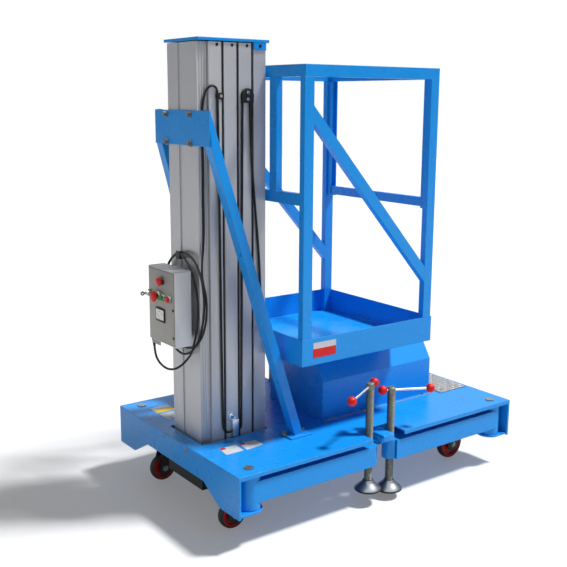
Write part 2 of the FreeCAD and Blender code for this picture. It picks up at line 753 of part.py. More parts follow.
def diagonal(xa, xb, y):
    # Its ends are cut upright to meet the two posts
    cosine = math.cos(math.atan2(DIAGONAL_HIGH - DIAGONAL_LOW, xb - xa))
    drop = TUBE_WIDE / cosine
    wall = TUBE_WALL / cosine
    outline = [V(xa, y, DIAGONAL_HIGH - drop), V(xb, y, DIAGONAL_LOW - drop),
               V(xb, y, DIAGONAL_LOW), V(xa, y, DIAGONAL_HIGH)]
    y_in = y + TUBE_WALL
    bore = [V(xa, y_in, DIAGONAL_HIGH - drop + wall), V(xb, y_in, DIAGONAL_LOW - drop + wall),
            V(xb, y_in, DIAGONAL_LOW - wall), V(xa, y_in, DIAGONAL_HIGH - wall)]
    tube = prism(outline, V(0, TUBE_THIN, 0))
    return tube.cut(prism(bore, V(0, TUBE_THIN - 2 * TUBE_WALL, 0)))


def entry_guide(x0, x1, y_out, low, high):
    # Channel on the inner face of a post, closed below the bar
    channel = block(x0, x1, y_out, y_out + GUIDE_FLANGE, low, high)
    slot = block(x0 + GUIDE_WALL, x1 - GUIDE_WALL, y_out + GUIDE_WALL, y_out + GUIDE_FLANGE,
                 low + GUIDE_STOP_H, high)
    return channel.cut(slot)


def make_platform():
    x0 = TRAY_X0
    x1 = TRAY_X0 + TRAY_L
    outer = block(x0, x1, -TRAY_HALF, TRAY_HALF, TRAY_BOTTOM, TRAY_TOP)
    inner = block(x0 + TRAY_T, x1 - TRAY_T, -TRAY_HALF + TRAY_T, TRAY_HALF - TRAY_T,
                  TRAY_BOTTOM + TRAY_T, TRAY_TOP)
    px0 = x0 + TRAY_T
    px1 = x1 - TRAY_T
    py = TRAY_HALF - TRAY_T
    floor = TRAY_BOTTOM + TRAY_T
    # The floor sheet leaves the posts' feet free in its corners
    sheet = block(px0, px1, -py, py, floor, floor + FLOOR_T)
    corners = []
    for x in (px0, px1 - TUBE_WIDE - FLOOR_GAP):
        corners += pair(block(x, x + TUBE_WIDE + FLOOR_GAP, -py, -py + TUBE_THIN + FLOOR_GAP,
                              floor, floor + FLOOR_T))
    export("tray", [fuse([outer.cut(inner), sheet.cut(corners)])])
    under = RAIL_TOP - TUBE_WIDE
    posts = []
    for x in (px0, px1 - TUBE_WIDE):
        posts += pair(upright_tube(x, x + TUBE_WIDE, -py, -py + TUBE_THIN, floor, under))
    export("guard_posts", posts)
    sides, ends = rail_ring(px0, px1, py, under, RAIL_TOP)
    export("guard_side_rails", sides)
    export("guard_end_rails", ends)
    export("guard_diagonals", pair(diagonal(px0 + TUBE_WIDE, px1 - TUBE_WIDE, -py)))
    inside = py - TUBE_THIN
    mid = block(px0, px0 + TUBE_THIN, -inside, inside, MID_RAIL_TOP - TUBE_WIDE, MID_RAIL_TOP)
    mid = mid.cut(block(px0 + TUBE_WALL, px0 + TUBE_THIN - TUBE_WALL, -inside, inside,
                        MID_RAIL_TOP - TUBE_WIDE + TUBE_WALL, MID_RAIL_TOP - TUBE_WALL))
    uprights = pair(upright_tube(px0, px0 + TUBE_THIN, -UPRIGHT_Y - TUBE_WIDE, -UPRIGHT_Y,
                                 MID_RAIL_TOP, under))
    export("guard_mast_side", [fuse([mid] + uprights)])
    spine = block(MAST_FRONT, x0, -CARRIAGE_HALF, CARRIAGE_HALF, TRAY_BOTTOM, RAIL_TOP)
    pads = []
    for z in (MID_RAIL_TOP, RAIL_TOP):
        pads.append(block(x0, px0, -CARRIAGE_HALF, CARRIAGE_HALF, z - TUBE_WIDE, z))
    export("carriage", [fuse([spine] + pads)])
    bar_x1 = px1 - GUIDE_WALL - GUIDE_GAP
    bar_low = ENTRY_BAR_TOP - ENTRY_BAR_H
    bar_half = inside - GUIDE_WALL - GUIDE_GAP
    guide_low = bar_low - SEAT_GAP - GUIDE_STOP_H
    guide_x0 = bar_x1 - ENTRY_BAR_D - GUIDE_GAP - GUIDE_WALL
    export("entry_guides", pair(entry_guide(guide_x0, px1, -inside, guide_low, under)))
    bar = block(bar_x1 - ENTRY_BAR_D, bar_x1, -bar_half, bar_half, bar_low, ENTRY_BAR_TOP)
    export("entry_bar", [bar])


# Legs and jacks

LEGS = [
    # name, hinge x, jack x, side (-1 near, 1 far), screw top, foot bottom, bar angle, bar droop
    ("1", PIN_X_MAST_END, JACK_X_1, -1, SCREW_TOP_1, FOOT_BOTTOM_1, BAR_ANGLE_1, BAR_DROOP_1),
    ("2", PIN_X_FAR_END, JACK_X_2, -1, SCREW_TOP_2, FOOT_BOTTOM_2, BAR_ANGLE_2, BAR_DROOP_2),
    ("3", PIN_X_MAST_END, JACK_X_1, 1, SCREW_TOP_1, FOOT_BOTTOM_1, BAR_ANGLE_1, BAR_DROOP_1),
    ("4", PIN_X_FAR_END, JACK_X_2, 1, SCREW_TOP_2, FOOT_BOTTOM_2, BAR_ANGLE_2, BAR_DROOP_2),
]


def leg(pin_x, jack_x):
    y = -LEG_Y
    x0 = min(pin_x, jack_x)
    x1 = max(pin_x, jack_x)
    tube = block(x0, x1, y - LEG_W / 2, y + LEG_W / 2, LEG_BOTTOM, LEG_TOP)
    hollow = block(x0, x1, y - LEG_W / 2 + LEG_T, y + LEG_W / 2 - LEG_T,
                   LEG_BOTTOM + LEG_T, LEG_TOP - LEG_T)
    tube = tube.cut(hollow)
    barrel = rod(BARREL_R, LUG_TOP + SEAT_GAP, DECK_LOW - BARREL_TOP_GAP, pin_x, y)
    tip = rod(TIP_R, LEG_BOTTOM, LEG_TOP, jack_x, y)
    holes = [
        rod(PIN_R + HINGE_CLEARANCE, END_BOTTOM, DECK_TOP, pin_x, y),
        rod(SCREW_R + SCREW_CLEARANCE, END_BOTTOM, DECK_TOP, jack_x, y),
    ]
    return fuse([tube, barrel, tip]).cut(holes)


def ball(centre):
    # Turned in a few conical bands, which keeps its facets few; the bands' edges lie on the sphere
    points = []
    for band in range(BALL_BANDS + 1):
        turn = math.pi * band / BALL_BANDS
        points.append(V(BALL_R * math.sin(turn), 0, BALL_R * math.cos(turn)))
    wire = Part.makePolygon(points + [points[0]])
    shape = Part.Face(wire).revolve(V(0, 0, 0), V(0, 0, 1), 360)
    shape.translate(centre)
    return shape


def jack(x, top, bottom, angle, droop):
    y = -LEG_Y
    neck = bottom + FOOT_RIM_H + FOOT_CONE_H
    screw = rod(SCREW_R, neck, top, x, y)
    rim = rod(FOOT_R, bottom, bottom + FOOT_RIM_H, x, y)
    cone = Part.makeCone(FOOT_R, FOOT_NECK_R, FOOT_CONE_H, V(x, y, bottom + FOOT_RIM_H))
    level = math.cos(math.radians(droop))
    turn = V(math.cos(math.radians(angle)) * level, math.sin(math.radians(angle)) * level,
             -math.sin(math.radians(droop)))
    centre = V(x, y, top - BAR_DROP)
    start = centre - turn * BAR_SHORT
    bar = Part.makeCylinder(BAR_R, BAR_LONG + BAR_SHORT, start, turn)
    balls = [ball(start), ball(centre + turn * BAR_LONG)]
    body = fuse([screw, rim, cone, bar]).cut(balls)
    return body, balls


def make_legs():
    for name, pin_x, jack_x, side, top, bottom, angle, droop in LEGS:
        arm = leg(pin_x, jack_x)
        body, balls = jack(jack_x, top, bottom, angle, droop)
        if side > 0:
            arm = mirror_y(arm)
            body = mirror_y(body)
            balls = [mirror_y(ball) for ball in balls]
        export("leg_" + name, [arm])
        export("jack_" + name, [body])
        export("jack_knobs_" + name, balls)


# Casters

def wheel(x, y, radius):
    half = TREAD_W / 2
    hub_r = radius - TREAD_D
    tyre = across(radius, y - half, y + half, x, radius)
    tyre = tyre.makeChamfer(TREAD_SHOULDER, [e for e in tyre.Edges if len(e.Vertexes) == 1])
    tyre = tyre.cut(across(hub_r, y - half, y + half, x, radius))
    hub = across(hub_r, y - half + 2, y + half - 2, x, radius)
    hub = hub.cut(across(AXLE_R + SEAT_GAP, y - half, y + half, x, radius))
    return tyre, hub


def fork(x, y, radius, plate_x, top, gap):
    half = TREAD_W / 2 + FORK_GAP
    crown_top = top - CASTER_PLATE_T - gap
    crown_low = 2 * radius + 6
    cheeks = []
    for side in (-1, 1):
        y0 = y + side * half
        y1 = y0 + side * FORK_T
        outline = [
            V(x - CHEEK_R, y0, radius), V(x + CHEEK_R, y0, radius),
            V(plate_x + 26, y0, crown_low + 10), V(plate_x - 26, y0, crown_low + 10),
        ]
        cheeks.append(prism(outline, V(0, y1 - y0, 0)))
        cheeks.append(across(CHEEK_R, min(y0, y1), max(y0, y1), x, radius))
    crown = rod(32, crown_low, crown_top, plate_x, y)
    axle = across(AXLE_R, y - half - FORK_T - 3, y + half + FORK_T + 3, x, radius)
    return fuse(cheeks + [crown, axle])


def make_casters():
    table = [
        # number, x, y side, wheel radius, swivel offset, mounting height, gap over the crown
        ("1", CASTER_X_MAST, -1, WHEEL_R_MAST, CASTER_TRAIL, CASTER_TOP_MAST, SEAT_GAP),
        ("2", CASTER_X_MAST, 1, WHEEL_R_MAST, CASTER_TRAIL, CASTER_TOP_MAST, SEAT_GAP),
        ("3", CASTER_X_FAR, -1, WHEEL_R_FAR, 0, CASTER_TOP_FAR, 0),
        ("4", CASTER_X_FAR, 1, WHEEL_R_FAR, 0, CASTER_TOP_FAR, 0),
    ]
    seats = []
    for name, x, side, radius, offset, top, gap in table:
        y = side * CASTER_Y
        tyre, hub = wheel(x, y, radius)
        export("tyre_" + name, [tyre])
        export("hub_" + name, [hub])
        export("fork_" + name, [fork(x, y, radius, x + offset, top, gap)])
        seat = caster_seat(x + offset, top)
        seats.append(seat if side < 0 else mirror_y(seat))
    export("caster_seats", seats)


os.makedirs("parts", exist_ok=True)
make_ends()
make_frame()
make_deck()
make_step()
make_pins()
make_cover()
make_mast()
make_brace()
make_control()
make_supply_cable()
make_mast_cable()
make_platform()
make_legs()
make_casters()
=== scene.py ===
import json
import math

import bmesh
import bpy
from bpy.props import FloatProperty, FloatVectorProperty, IntProperty, PointerProperty
from bpy.types import Operator, Panel, PropertyGroup
from mathutils import Matrix, Vector


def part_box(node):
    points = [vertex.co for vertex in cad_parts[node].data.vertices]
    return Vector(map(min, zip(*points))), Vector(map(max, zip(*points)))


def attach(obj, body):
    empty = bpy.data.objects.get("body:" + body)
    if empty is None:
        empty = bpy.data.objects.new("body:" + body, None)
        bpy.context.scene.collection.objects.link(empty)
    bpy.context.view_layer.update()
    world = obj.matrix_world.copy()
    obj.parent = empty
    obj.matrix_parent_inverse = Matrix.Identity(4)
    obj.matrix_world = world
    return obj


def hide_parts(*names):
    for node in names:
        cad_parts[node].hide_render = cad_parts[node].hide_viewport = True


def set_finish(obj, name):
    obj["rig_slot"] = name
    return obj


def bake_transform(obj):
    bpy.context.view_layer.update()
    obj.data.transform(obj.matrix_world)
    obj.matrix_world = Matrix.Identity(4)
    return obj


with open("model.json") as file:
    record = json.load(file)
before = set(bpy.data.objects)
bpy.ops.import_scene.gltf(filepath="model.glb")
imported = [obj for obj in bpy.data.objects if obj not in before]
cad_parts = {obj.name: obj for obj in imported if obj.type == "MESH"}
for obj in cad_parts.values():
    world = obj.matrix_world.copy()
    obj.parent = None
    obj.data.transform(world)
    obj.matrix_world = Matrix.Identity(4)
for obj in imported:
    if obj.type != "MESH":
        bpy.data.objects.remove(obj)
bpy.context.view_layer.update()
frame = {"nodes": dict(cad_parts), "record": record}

bl_info = {
    "name": "Mast lift dressing",
    "version": (1, 0, 0),
    "blender": (4, 5, 0),
    "location": "View3D > Sidebar > Mast lift",
    "description": "Finishes, threads, fasteners, cables and fittings of a vertical mast lift",
    "category": "Object",
}

# Lengths below are millimetres from the mast end of the base, +Z up from the floor.
# The near side is the one at -Y, and the front of the control box looks out to -X.
MM = 0.001
SHIFT_X = -636.0
DECK_TOP = 270.0
NODES = frame["nodes"]
UP = (0, 0, 1)
DOWN = (0, 0, -1)
OUT = (-1, 0, 0)
NEAR = (0, -1, 0)
FAR = (0, 1, 0)
SIDES = (("near", -1), ("far", 1))


def row(x, y, z):
    return Vector(((x + SHIFT_X) * MM, y * MM, z * MM))


def part_mm(point):
    # A point of the scene in the part's own millimetres
    return Vector((point.x / MM - SHIFT_X, point.y / MM, point.z / MM))


def node_mm(name):
    low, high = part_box(name)
    return part_mm(low), part_mm(high)


def linear(colour):
    # An sRGB hex value, or the colour of a setting, as linear light with full opacity
    if not isinstance(colour, str):
        return (*colour, 1)
    channels = [int(colour[i:i + 2], 16) / 255 for i in (0, 2, 4)]
    return (*(c / 12.92 if c <= 0.04045 else ((c + 0.055) / 1.055) ** 2.4 for c in channels), 1)


# Settings

class MastLiftSettings(PropertyGroup):
    paint: FloatVectorProperty(
        name="Paint", description="Colour of the sprayed enamel",
        default=linear("128CE0")[:3], min=0.0, max=1.0, subtype="COLOR")
    faded_paint: FloatVectorProperty(
        name="Faded paint", description="Colour of the enamel where the coat is thinnest",
        default=linear("1692E4")[:3], min=0.0, max=1.0, subtype="COLOR")
    edge_radius: FloatProperty(
        name="Edge radius", description="Softness that the eye sees on the painted edges",
        default=0.003, min=0.0, unit="LENGTH", subtype="DISTANCE")
    thread_pitch: FloatProperty(
        name="Thread pitch", description="Rise of the jack screws' thread in one turn",
        default=0.006, min=0.002, unit="LENGTH", subtype="DISTANCE")
    tread_pitch: FloatProperty(
        name="Tread pitch", description="Distance between the raised bars of the step plate",
        default=0.0215, min=0.01, unit="LENGTH", subtype="DISTANCE")
    coil_strands: IntProperty(
        name="Coil points", description="Control points in one turn of the hung cable",
        default=14, min=8, max=40)


# Small tools for meshes

def link(name, data):
    piece = bpy.data.objects.new(name, data)
    bpy.context.scene.collection.objects.link(piece)
    return piece


def smooth(mesh, sharp):
    mesh.shade_smooth()
    mesh.set_sharp_from_angle(angle=math.radians(sharp))


def piece_from(name, bm, finish, body, slot="", sharp=32.0, replaces=""):
    # The slot has the finish's own name unless another is given
    bmesh.ops.recalc_face_normals(bm, faces=bm.faces)
    mesh = bpy.data.meshes.new(name)
    bm.to_mesh(mesh)
    bm.free()
    mesh.materials.append(FINISH[finish])
    smooth(mesh, sharp)
    piece = link(name, mesh)
    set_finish(piece, slot or finish)
    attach(piece, body)
    if replaces:
        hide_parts(replaces)
    return piece


def finished_mesh(item):
    # The plain mesh that an object with modifiers, or a curve, comes to
    bpy.context.view_layer.update()
    graph = bpy.context.evaluated_depsgraph_get()
    return bpy.data.meshes.new_from_object(item.evaluated_get(graph))


def add_box(bm, low, high, round_mm=0.0, steps=2):
    low = row(*low)
    high = row(*high)
    verts = bmesh.ops.create_cube(bm, size=1.0)["verts"]
    for v in verts:
        v.co = Vector((
            low.x if v.co.x < 0 else high.x,
            low.y if v.co.y < 0 else high.y,
            low.z if v.co.z < 0 else high.z,
        ))
    if round_mm > 0:
        edges = {e for v in verts for e in v.link_edges}
        bmesh.ops.bevel(bm, geom=list(edges), offset=round_mm * MM, segments=steps,
                        affect="EDGES", profile=0.5, clamp_overlap=True)


def add_box_pair(bm, x, y, z, round_mm, steps):
    # The same box on both sides, with y as distances from the lift's middle
    for _, side in SIDES:
        low_y, high_y = sorted((side * y[0], side * y[1]))
        add_box(bm, (x[0], low_y, z[0]), (x[1], high_y, z[1]), round_mm, steps)


def add_lathe(bm, foot, axis, profile, steps=40, closed=False):
    # A (radius, height) profile in millimetres turned about an axis through foot
    axis = Vector(axis).normalized()
    side = axis.orthogonal().normalized()
    other = axis.cross(side)
    foot = row(*foot)
    rings = []
    for radius, along in profile:
        centre = foot + axis * along * MM
        if radius == 0:
            rings.append([bm.verts.new(centre)])
            continue
        ring = []
        for i in range(steps):
            turn = 2 * math.pi * i / steps
            out = side * math.cos(turn) + other * math.sin(turn)
            ring.append(bm.verts.new(centre + out * radius * MM))
        rings.append(ring)
    if closed:
        rings.append(rings[0])
    for low, high in zip(rings, rings[1:]):
        for i in range(steps):
            j = (i + 1) % steps
            corners = [low[i % len(low)], low[j % len(low)], high[j % len(high)], high[i % len(high)]]
            unique = list(dict.fromkeys(corners))
            if len(unique) > 2:
                bm.faces.new(unique)


def add_prism(bm, outline, depth):
    # A flat outline of points pushed along depth; both in the part's millimetres
    push = Vector(depth) * MM
    near = [bm.verts.new(row(*p)) for p in outline]
    far = [bm.verts.new(row(*p) + push) for p in outline]
    bm.faces.new(near)
    bm.faces.new(list(reversed(far)))
    for i in range(len(near)):
        j = (i + 1) % len(near)
        bm.faces.new([near[j], near[i], far[i], far[j]])


def raise_edge(node, name, below, level):
    # The node's own mesh, with all that lies below one height raised to another
    mesh = NODES[node].data.copy()
    for vertex in mesh.vertices:
        if vertex.co.z / MM < below:
            vertex.co.z = level * MM
    piece = link(name, mesh)
    bodies = frame["record"]["behaviour"]["bodies"]
    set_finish(piece, NODES[node]["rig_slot"])
    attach(piece, next(body for body, names in bodies.items() if node in names))
    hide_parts(node)


# Finishes

def add_node(tree, kind, *inputs, **values):
    # Inputs are given in order or by name, and node properties by name. An input is a value, the
    # socket that feeds it, or a node, which stands for its first output.
    node = tree.nodes.new(kind)
    sockets = {s.name.lower(): s for s in reversed(node.inputs)}
    pairs = list(zip(node.inputs, inputs))
    for key, value in values.items():
        socket = sockets.get(key.replace("_", " ").lower())
        if socket is None:
            setattr(node, key, value)
        else:
            pairs.append((socket, value))
    for socket, value in pairs:
        if isinstance(value, bpy.types.Node):
            value = value.outputs[0]
        if isinstance(value, bpy.types.NodeSocket):
            tree.links.new(value, socket)
        else:
            socket.default_value = value
    return node


def noise(tree, grain, detail=2.0):
    # Grain is the noise's size on the part in millimetres, one or one for each direction
    grains = grain if isinstance(grain, tuple) else (grain, grain, grain)
    coords = add_node(tree, "ShaderNodeTexCoord")
    mapping = add_node(tree, "ShaderNodeMapping", Vector=coords.outputs["Object"],
                       Scale=[1 / (size * MM) for size in grains])
    return add_node(tree, "ShaderNodeTexNoise", Vector=mapping, Scale=1.0, Detail=detail)


def lay_finish(name, tone=None, sheen=None, skin=None, detail=2.0, **values):
    # A finish from up to three patterns, each led by its grain: tone (light, dark), sheen
    # (roughness from, to) and skin (strength, depth in mm, radius of soft edges)
    finish = bpy.data.materials.new(name)
    finish.use_nodes = True
    tree = finish.node_tree
    shader = tree.nodes["Principled BSDF"]
    for key, value in values.items():
        shader.inputs[key.replace("_", " ")].default_value = value
    if tone:
        blend = add_node(tree, "ShaderNodeMix", noise(tree, tone[0]), data_type="RGBA")
        colours = [s for s in blend.inputs if s.type == "RGBA"]
        colours[0].default_value = linear(tone[1])
        colours[1].default_value = linear(tone[2])
        mixed = next(s for s in blend.outputs if s.type == "RGBA")
        tree.links.new(mixed, shader.inputs["Base Color"])
    if sheen:
        spread = add_node(tree, "ShaderNodeMapRange", noise(tree, sheen[0], detail), From_Min=0.3,
                          From_Max=0.7, To_Min=sheen[1], To_Max=sheen[2])
        tree.links.new(spread.outputs["Result"], shader.inputs["Roughness"])
    if skin:
        soft = add_node(tree, "ShaderNodeBevel", samples=4, Radius=skin[3])
        bump = add_node(tree, "ShaderNodeBump", Height=noise(tree, skin[0], detail),
                        Strength=skin[1], Distance=skin[2] * MM, Normal=soft)
        tree.links.new(bump.outputs["Normal"], shader.inputs["Normal"])
    return finish


def moulded(name, colour, roughness=0.32):
    # Plain moulded plastic, or printed film, with a soft sheen
    return lay_finish(name, sheen=(5, roughness - 0.05, roughness + 0.08), Roughness=roughness,
                  Specular_IOR_Level=0.3, Base_Color=linear(colour))


FINISH = {}
RECORD_SLOT = {"bright_steel": "zinc_steel"}


def make_finishes(settings):
    FINISH.update({
        # Sprayed gloss paint: faint orange peel and soft edges make its highlights break up.
        # Real orange peel is finer than a pixel, so it is drawn as broad waves.
        "blue_enamel": lay_finish(
            "Blue enamel", (167, settings.paint, settings.faded_paint), (83.3, 0.24, 0.34),
            (111, 0.1, 0.6, settings.edge_radius), Roughness=0.3, Specular_IOR_Level=0.28),
        # Die lines run up the sections, so light spreads sideways in fine vertical streaks
        "mast_aluminium": lay_finish(
            "Extruded aluminium", ((3.85, 3.85, 2000), "BFC0C3", "AEAFB3"),
            ((1.11, 1.11, 1250), 0.34, 0.52),
            ((1.11, 1.11, 1250), 0.2, 0.12, 1.2 * MM), 3.0, Metallic=0.45,
            Roughness=0.42),
        # Rolled plate, mottled by boots and dirt between its raised bars
        "step_aluminium": lay_finish(
            "Rolled aluminium", (18.2, "B4B5B6", "4A4B4E"), (8.33, 0.28, 0.5),
            (2, 0.1, 0.1, 0.8 * MM), Metallic=0.9, Roughness=0.36),
        # Plated steel, dull and slightly mottled
        "zinc_steel": lay_finish(
            "Zinc plate", (11.1, "8B8E8D", "707472"), (3.33, 0.3, 0.5),
            (1.43, 0.1, 0.08, 0.6 * MM), Metallic=0.9, Roughness=0.4),
        # Polished bar that mirrors the pale room
        "bright_steel": lay_finish(
            "Bright steel", sheen=(2.5, 0.16, 0.3), Metallic=1.0, Roughness=0.22,
            Base_Color=linear("C9CACB")),
        # Black paint on pressed steel, satin with soft edges
        "black_steel": lay_finish(
            "Black steel", skin=(2.86, 0.15, 0.12, MM), Roughness=0.4,
            Specular_IOR_Level=0.3, Base_Color=linear("0A0B0D")),
        # Oiled thread, dark in its valleys and mottled where the plating has dulled
        "screw_zinc": lay_finish(
            "Dull zinc", (8.33, "8A8D86", "565B56"), (3.33, 0.38, 0.58),
            (1.43, 0.1, 0.08, 0.4 * MM), Metallic=0.75, Roughness=0.48),
        # Turned and plated foot, smoother and darker than the sheet
        "foot_zinc": lay_finish(
            "Foot zinc", (16.7, "777B80", "63676C"), (3.33, 0.28, 0.42), Metallic=0.85,
            Roughness=0.34),
        "foot_rim": moulded("Foot rim", "1C1E20", 0.5),
        # Textured powder coat of the electric box in a lit and a shaded copy: the pale sides are painted
        # light, the darker grey door painted shade
        "grey_enamel": lay_finish(
            "Grey enamel", (50, "A09E9A", "989692"), None, (1.11, 0.25, 0.12, 1.2 * MM),
            Roughness=0.5),
        "sunlit_box_enamel": lay_finish(
            "Sunlit box enamel", (50, "D6D7DA", "C9CACF"), None, (1.11, 0.25, 0.12, 1.2 * MM),
            Roughness=0.5),
        "control_plastic": moulded("Control plastic", "8A1310"),
        "red_plastic": moulded("Red plastic", "CC130D", 0.36),
        # Red plastic of the wheel discs, darker than the other red as painted shade
        "shaded_wheel_red": moulded("Shaded wheel red", "A81317", 0.4),
        "green_plastic": moulded("Green plastic", "1C8A3C"),
        "white_paint": moulded("White label", "E9E9E6", 0.4),
        "grey_label": moulded("Grey label", "C2C5C8", 0.4),
        "yellow_label": moulded("Yellow label", "E8C21A", 0.4),
        "red_label": moulded("Red label", "CE1414", 0.4),
        "black_plastic": moulded("Black plastic", "0D0D0E", 0.42),
        # Matt rubber, paler where dust clings
        "black_rubber": lay_finish(
            "Tyre rubber", (16.7, "0E0E0F", "191918"), None,
            (1.11, 0.3, 0.15, 0.8 * MM), Roughness=0.8),
        # Black sheath with the slight sheen of moulded rubber
        "black_cable": lay_finish(
            "Cable sheath", sheen=(6.67, 0.4, 0.55), Roughness=0.46,
            Specular_IOR_Level=0.3, Base_Color=linear("060607")),
    })
    slots = {s["node"]: s["material_slot"] for s in frame["record"]["subparts"]}
    for name, node in NODES.items():
        mesh = node.data
        if "custom_normal" in mesh.attributes:
            mesh.attributes.remove(mesh.attributes["custom_normal"])
        mesh.materials.clear()
        mesh.materials.append(FINISH[slots[name]])
        smooth(mesh, 30)
        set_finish(node, slots[name])


# Repeated items are set by geometry trees

def tree_with(name, sockets):
    tree = bpy.data.node_groups.new(name, "GeometryNodeTree")
    tree.interface.new_socket("Geometry", in_out="INPUT", socket_type="NodeSocketGeometry")
    for label, kind, default in sockets:
        socket = tree.interface.new_socket(label, in_out="INPUT", socket_type=kind)
        if default is not None:
            socket.default_value = default
    tree.interface.new_socket("Geometry", in_out="OUTPUT", socket_type="NodeSocketGeometry")
    return tree, add_node(tree, "NodeGroupInput").outputs


def close_tree(tree, given, copies):
    # The copies become one mesh with its finish set
    real = add_node(tree, "GeometryNodeRealizeInstances", copies)
    paint = add_node(tree, "GeometryNodeSetMaterial", Geometry=real, Material=given["Finish"])
    add_node(tree, "NodeGroupOutput", paint)
    return tree


def bolt_tree():
    # A washer and a six-sided head on every point, facing one way
    tree, given = tree_with("Bolts on points", [
        ("Head", "NodeSocketFloat", 0.006),
        ("Height", "NodeSocketFloat", 0.005),
        ("Sides", "NodeSocketInt", 6),
        ("Facing", "NodeSocketVector", (0.0, 0.0, 1.0)),
        ("Finish", "NodeSocketMaterial", None),
    ])
    head = add_node(tree, "GeometryNodeMeshCylinder", Vertices=given["Sides"],
                    Radius=given["Head"], Depth=given["Height"])
    half = add_node(tree, "ShaderNodeMath", given["Height"], 0.5, operation="MULTIPLY")
    lift = add_node(tree, "ShaderNodeCombineXYZ", Z=half)
    raised = add_node(tree, "GeometryNodeTransform", head, Translation=lift)
    wide = add_node(tree, "ShaderNodeMath", given["Head"], 1.5, operation="MULTIPLY")
    washer = add_node(tree, "GeometryNodeMeshCylinder", Vertices=28, Radius=wide, Depth=half)
    join = add_node(tree, "GeometryNodeJoinGeometry", raised)
    tree.links.new(washer.outputs["Mesh"], join.inputs["Geometry"])
    turn = add_node(tree, "FunctionNodeAlignRotationToVector", Vector=given["Facing"], axis="Z")
    copies = add_node(tree, "GeometryNodeInstanceOnPoints", Points=given["Geometry"],
                      Instance=join, Rotation=turn)
    return close_tree(tree, given, copies)


def grow(name, base, tree, values, body, slot, sharp=30.0):
    # Runs a geometry tree over a mesh and keeps the plain result
    source = link(name + " source", base)
    modifier = source.modifiers.new("Repeat", "NODES")
    modifier.node_group = tree
    for item in tree.interface.items_tree:
        if item.item_type == "SOCKET" and item.in_out == "INPUT" and item.name in values:
            modifier[item.identifier] = values[item.name]
    mesh = finished_mesh(source)
    bpy.data.objects.remove(source)
    if not mesh.vertices:
        raise RuntimeError(name + " came out empty")
    mesh.name = name
    smooth(mesh, sharp)
    piece = link(name, mesh)
    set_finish(piece, slot)
    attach(piece, body)
    return piece


ROUND = 20


def bolts(name, points, facing, body, head=6.0, height=5.0, sides=6, finish="zinc_steel"):
    base = bpy.data.meshes.new(name + " points")
    base.from_pydata([row(*p) for p in points], [], [])
    tree = bpy.data.node_groups.get("Bolts on points") or bolt_tree()
    return grow(name, base, tree, {
        "Head": head * MM, "Height": height * MM, "Sides": sides, "Facing": facing,
        "Finish": FINISH[finish]}, body, RECORD_SLOT.get(finish, finish))


def tread_tree():
    # Raised lozenges on a grid, each turned a quarter from its neighbours
    tree, given = tree_with("Tread on plate", [
        ("Pitch", "NodeSocketFloat", 0.02),
        ("Size X", "NodeSocketFloat", 0.1),
        ("Size Y", "NodeSocketFloat", 0.1),
        ("Count X", "NodeSocketInt", 5),
        ("Count Y", "NodeSocketInt", 5),
        ("Finish", "NodeSocketMaterial", None),
    ])
    count = given["Count Y"]
    grid = add_node(tree, "GeometryNodeMeshGrid", given["Size X"], given["Size Y"],
                    given["Count X"], count)
    index = add_node(tree, "GeometryNodeInputIndex")
    column = add_node(tree, "ShaderNodeMath", index, count, operation="DIVIDE")
    whole = add_node(tree, "ShaderNodeMath", column, operation="FLOOR")
    longer = add_node(tree, "ShaderNodeMath", count, 1.0, operation="ADD")
    offset = add_node(tree, "ShaderNodeMath", whole, longer, operation="MULTIPLY")
    total = add_node(tree, "ShaderNodeMath", index, offset, operation="ADD")
    parity = add_node(tree, "ShaderNodeMath", total, 2.0, operation="MODULO")
    angle = add_node(tree, "ShaderNodeMath", parity, math.radians(90), math.radians(45),
                     operation="MULTIPLY_ADD")
    turn = add_node(tree, "ShaderNodeCombineXYZ", Z=angle)
    bar = add_node(tree, "GeometryNodeMeshUVSphere", Segments=12, Rings=6, Radius=0.5)
    size = add_node(tree, "ShaderNodeVectorMath", (1.0, 0.27, 0.13), operation="SCALE",
                    Scale=given["Pitch"])
    copies = add_node(tree, "GeometryNodeInstanceOnPoints", Points=grid, Instance=bar,
                      Rotation=turn, Scale=size)
    return close_tree(tree, given, copies)


# Mast

MAST_TOP = 1660.0
SECTION_X = (100.0, 160.0, 220.0, 280.0)
SECTION_HALF = 108.0
SECTION_D = 50.0
SECTION_GAP = 10.0
OWNERS = ("root", "stage_2", "stage_3")
STRIP_Y = (90.0, 103.0)
STRIP_LOW = 128.0
TAB_T = 4.0
TAB_LEAST = 30.0
TAB_H = 22.0
RIB_X = ((60.4, 64), (71, 74), (81, 84), (92, 98))
RIB_Y = (95.0, 98.2)
RIB_LOW = 110.0


def make_mast_details():
    # Black slide strips in the gaps between the sections; their black is painted shade for the shadowed
    # gaps
    for x, body in zip(SECTION_X[1:], OWNERS):
        bm = bmesh.new()
        add_box_pair(bm, (x - SECTION_GAP, x - 0.5), STRIP_Y, (STRIP_LOW, MAST_TOP - 3), 0.6, 1)
        piece_from("gap_shade_strips_" + body, bm, "black_plastic", body)
    for label, side in SIDES:
        facing = (0, side, 0)
        for x, body in zip(SECTION_X, OWNERS):
            bolts("strip_screws_" + label + "_" + body,
                  [(x + 33, side * SECTION_HALF, MAST_TOP - 9)], facing, body, 3.6, 1.6, ROUND,
                  "black_steel")
        spot = (SECTION_X[-1] + SECTION_D / 2, side * (SECTION_HALF + TAB_T), MAST_TOP - 8)
        bolts("cap_bolt_" + label, [spot], facing, "platform", 4, 2, ROUND, "black_steel")
    raise_edge("mast_cap", "cap_with_tabs", MAST_TOP - TAB_LEAST, MAST_TOP - TAB_H)
    bm = bmesh.new()
    for x in RIB_X:
        add_box_pair(bm, x, RIB_Y, (RIB_LOW, MAST_TOP - 0.5), 0.8, 2)
    piece_from("rear_ribs", bm, "mast_aluminium", "root")


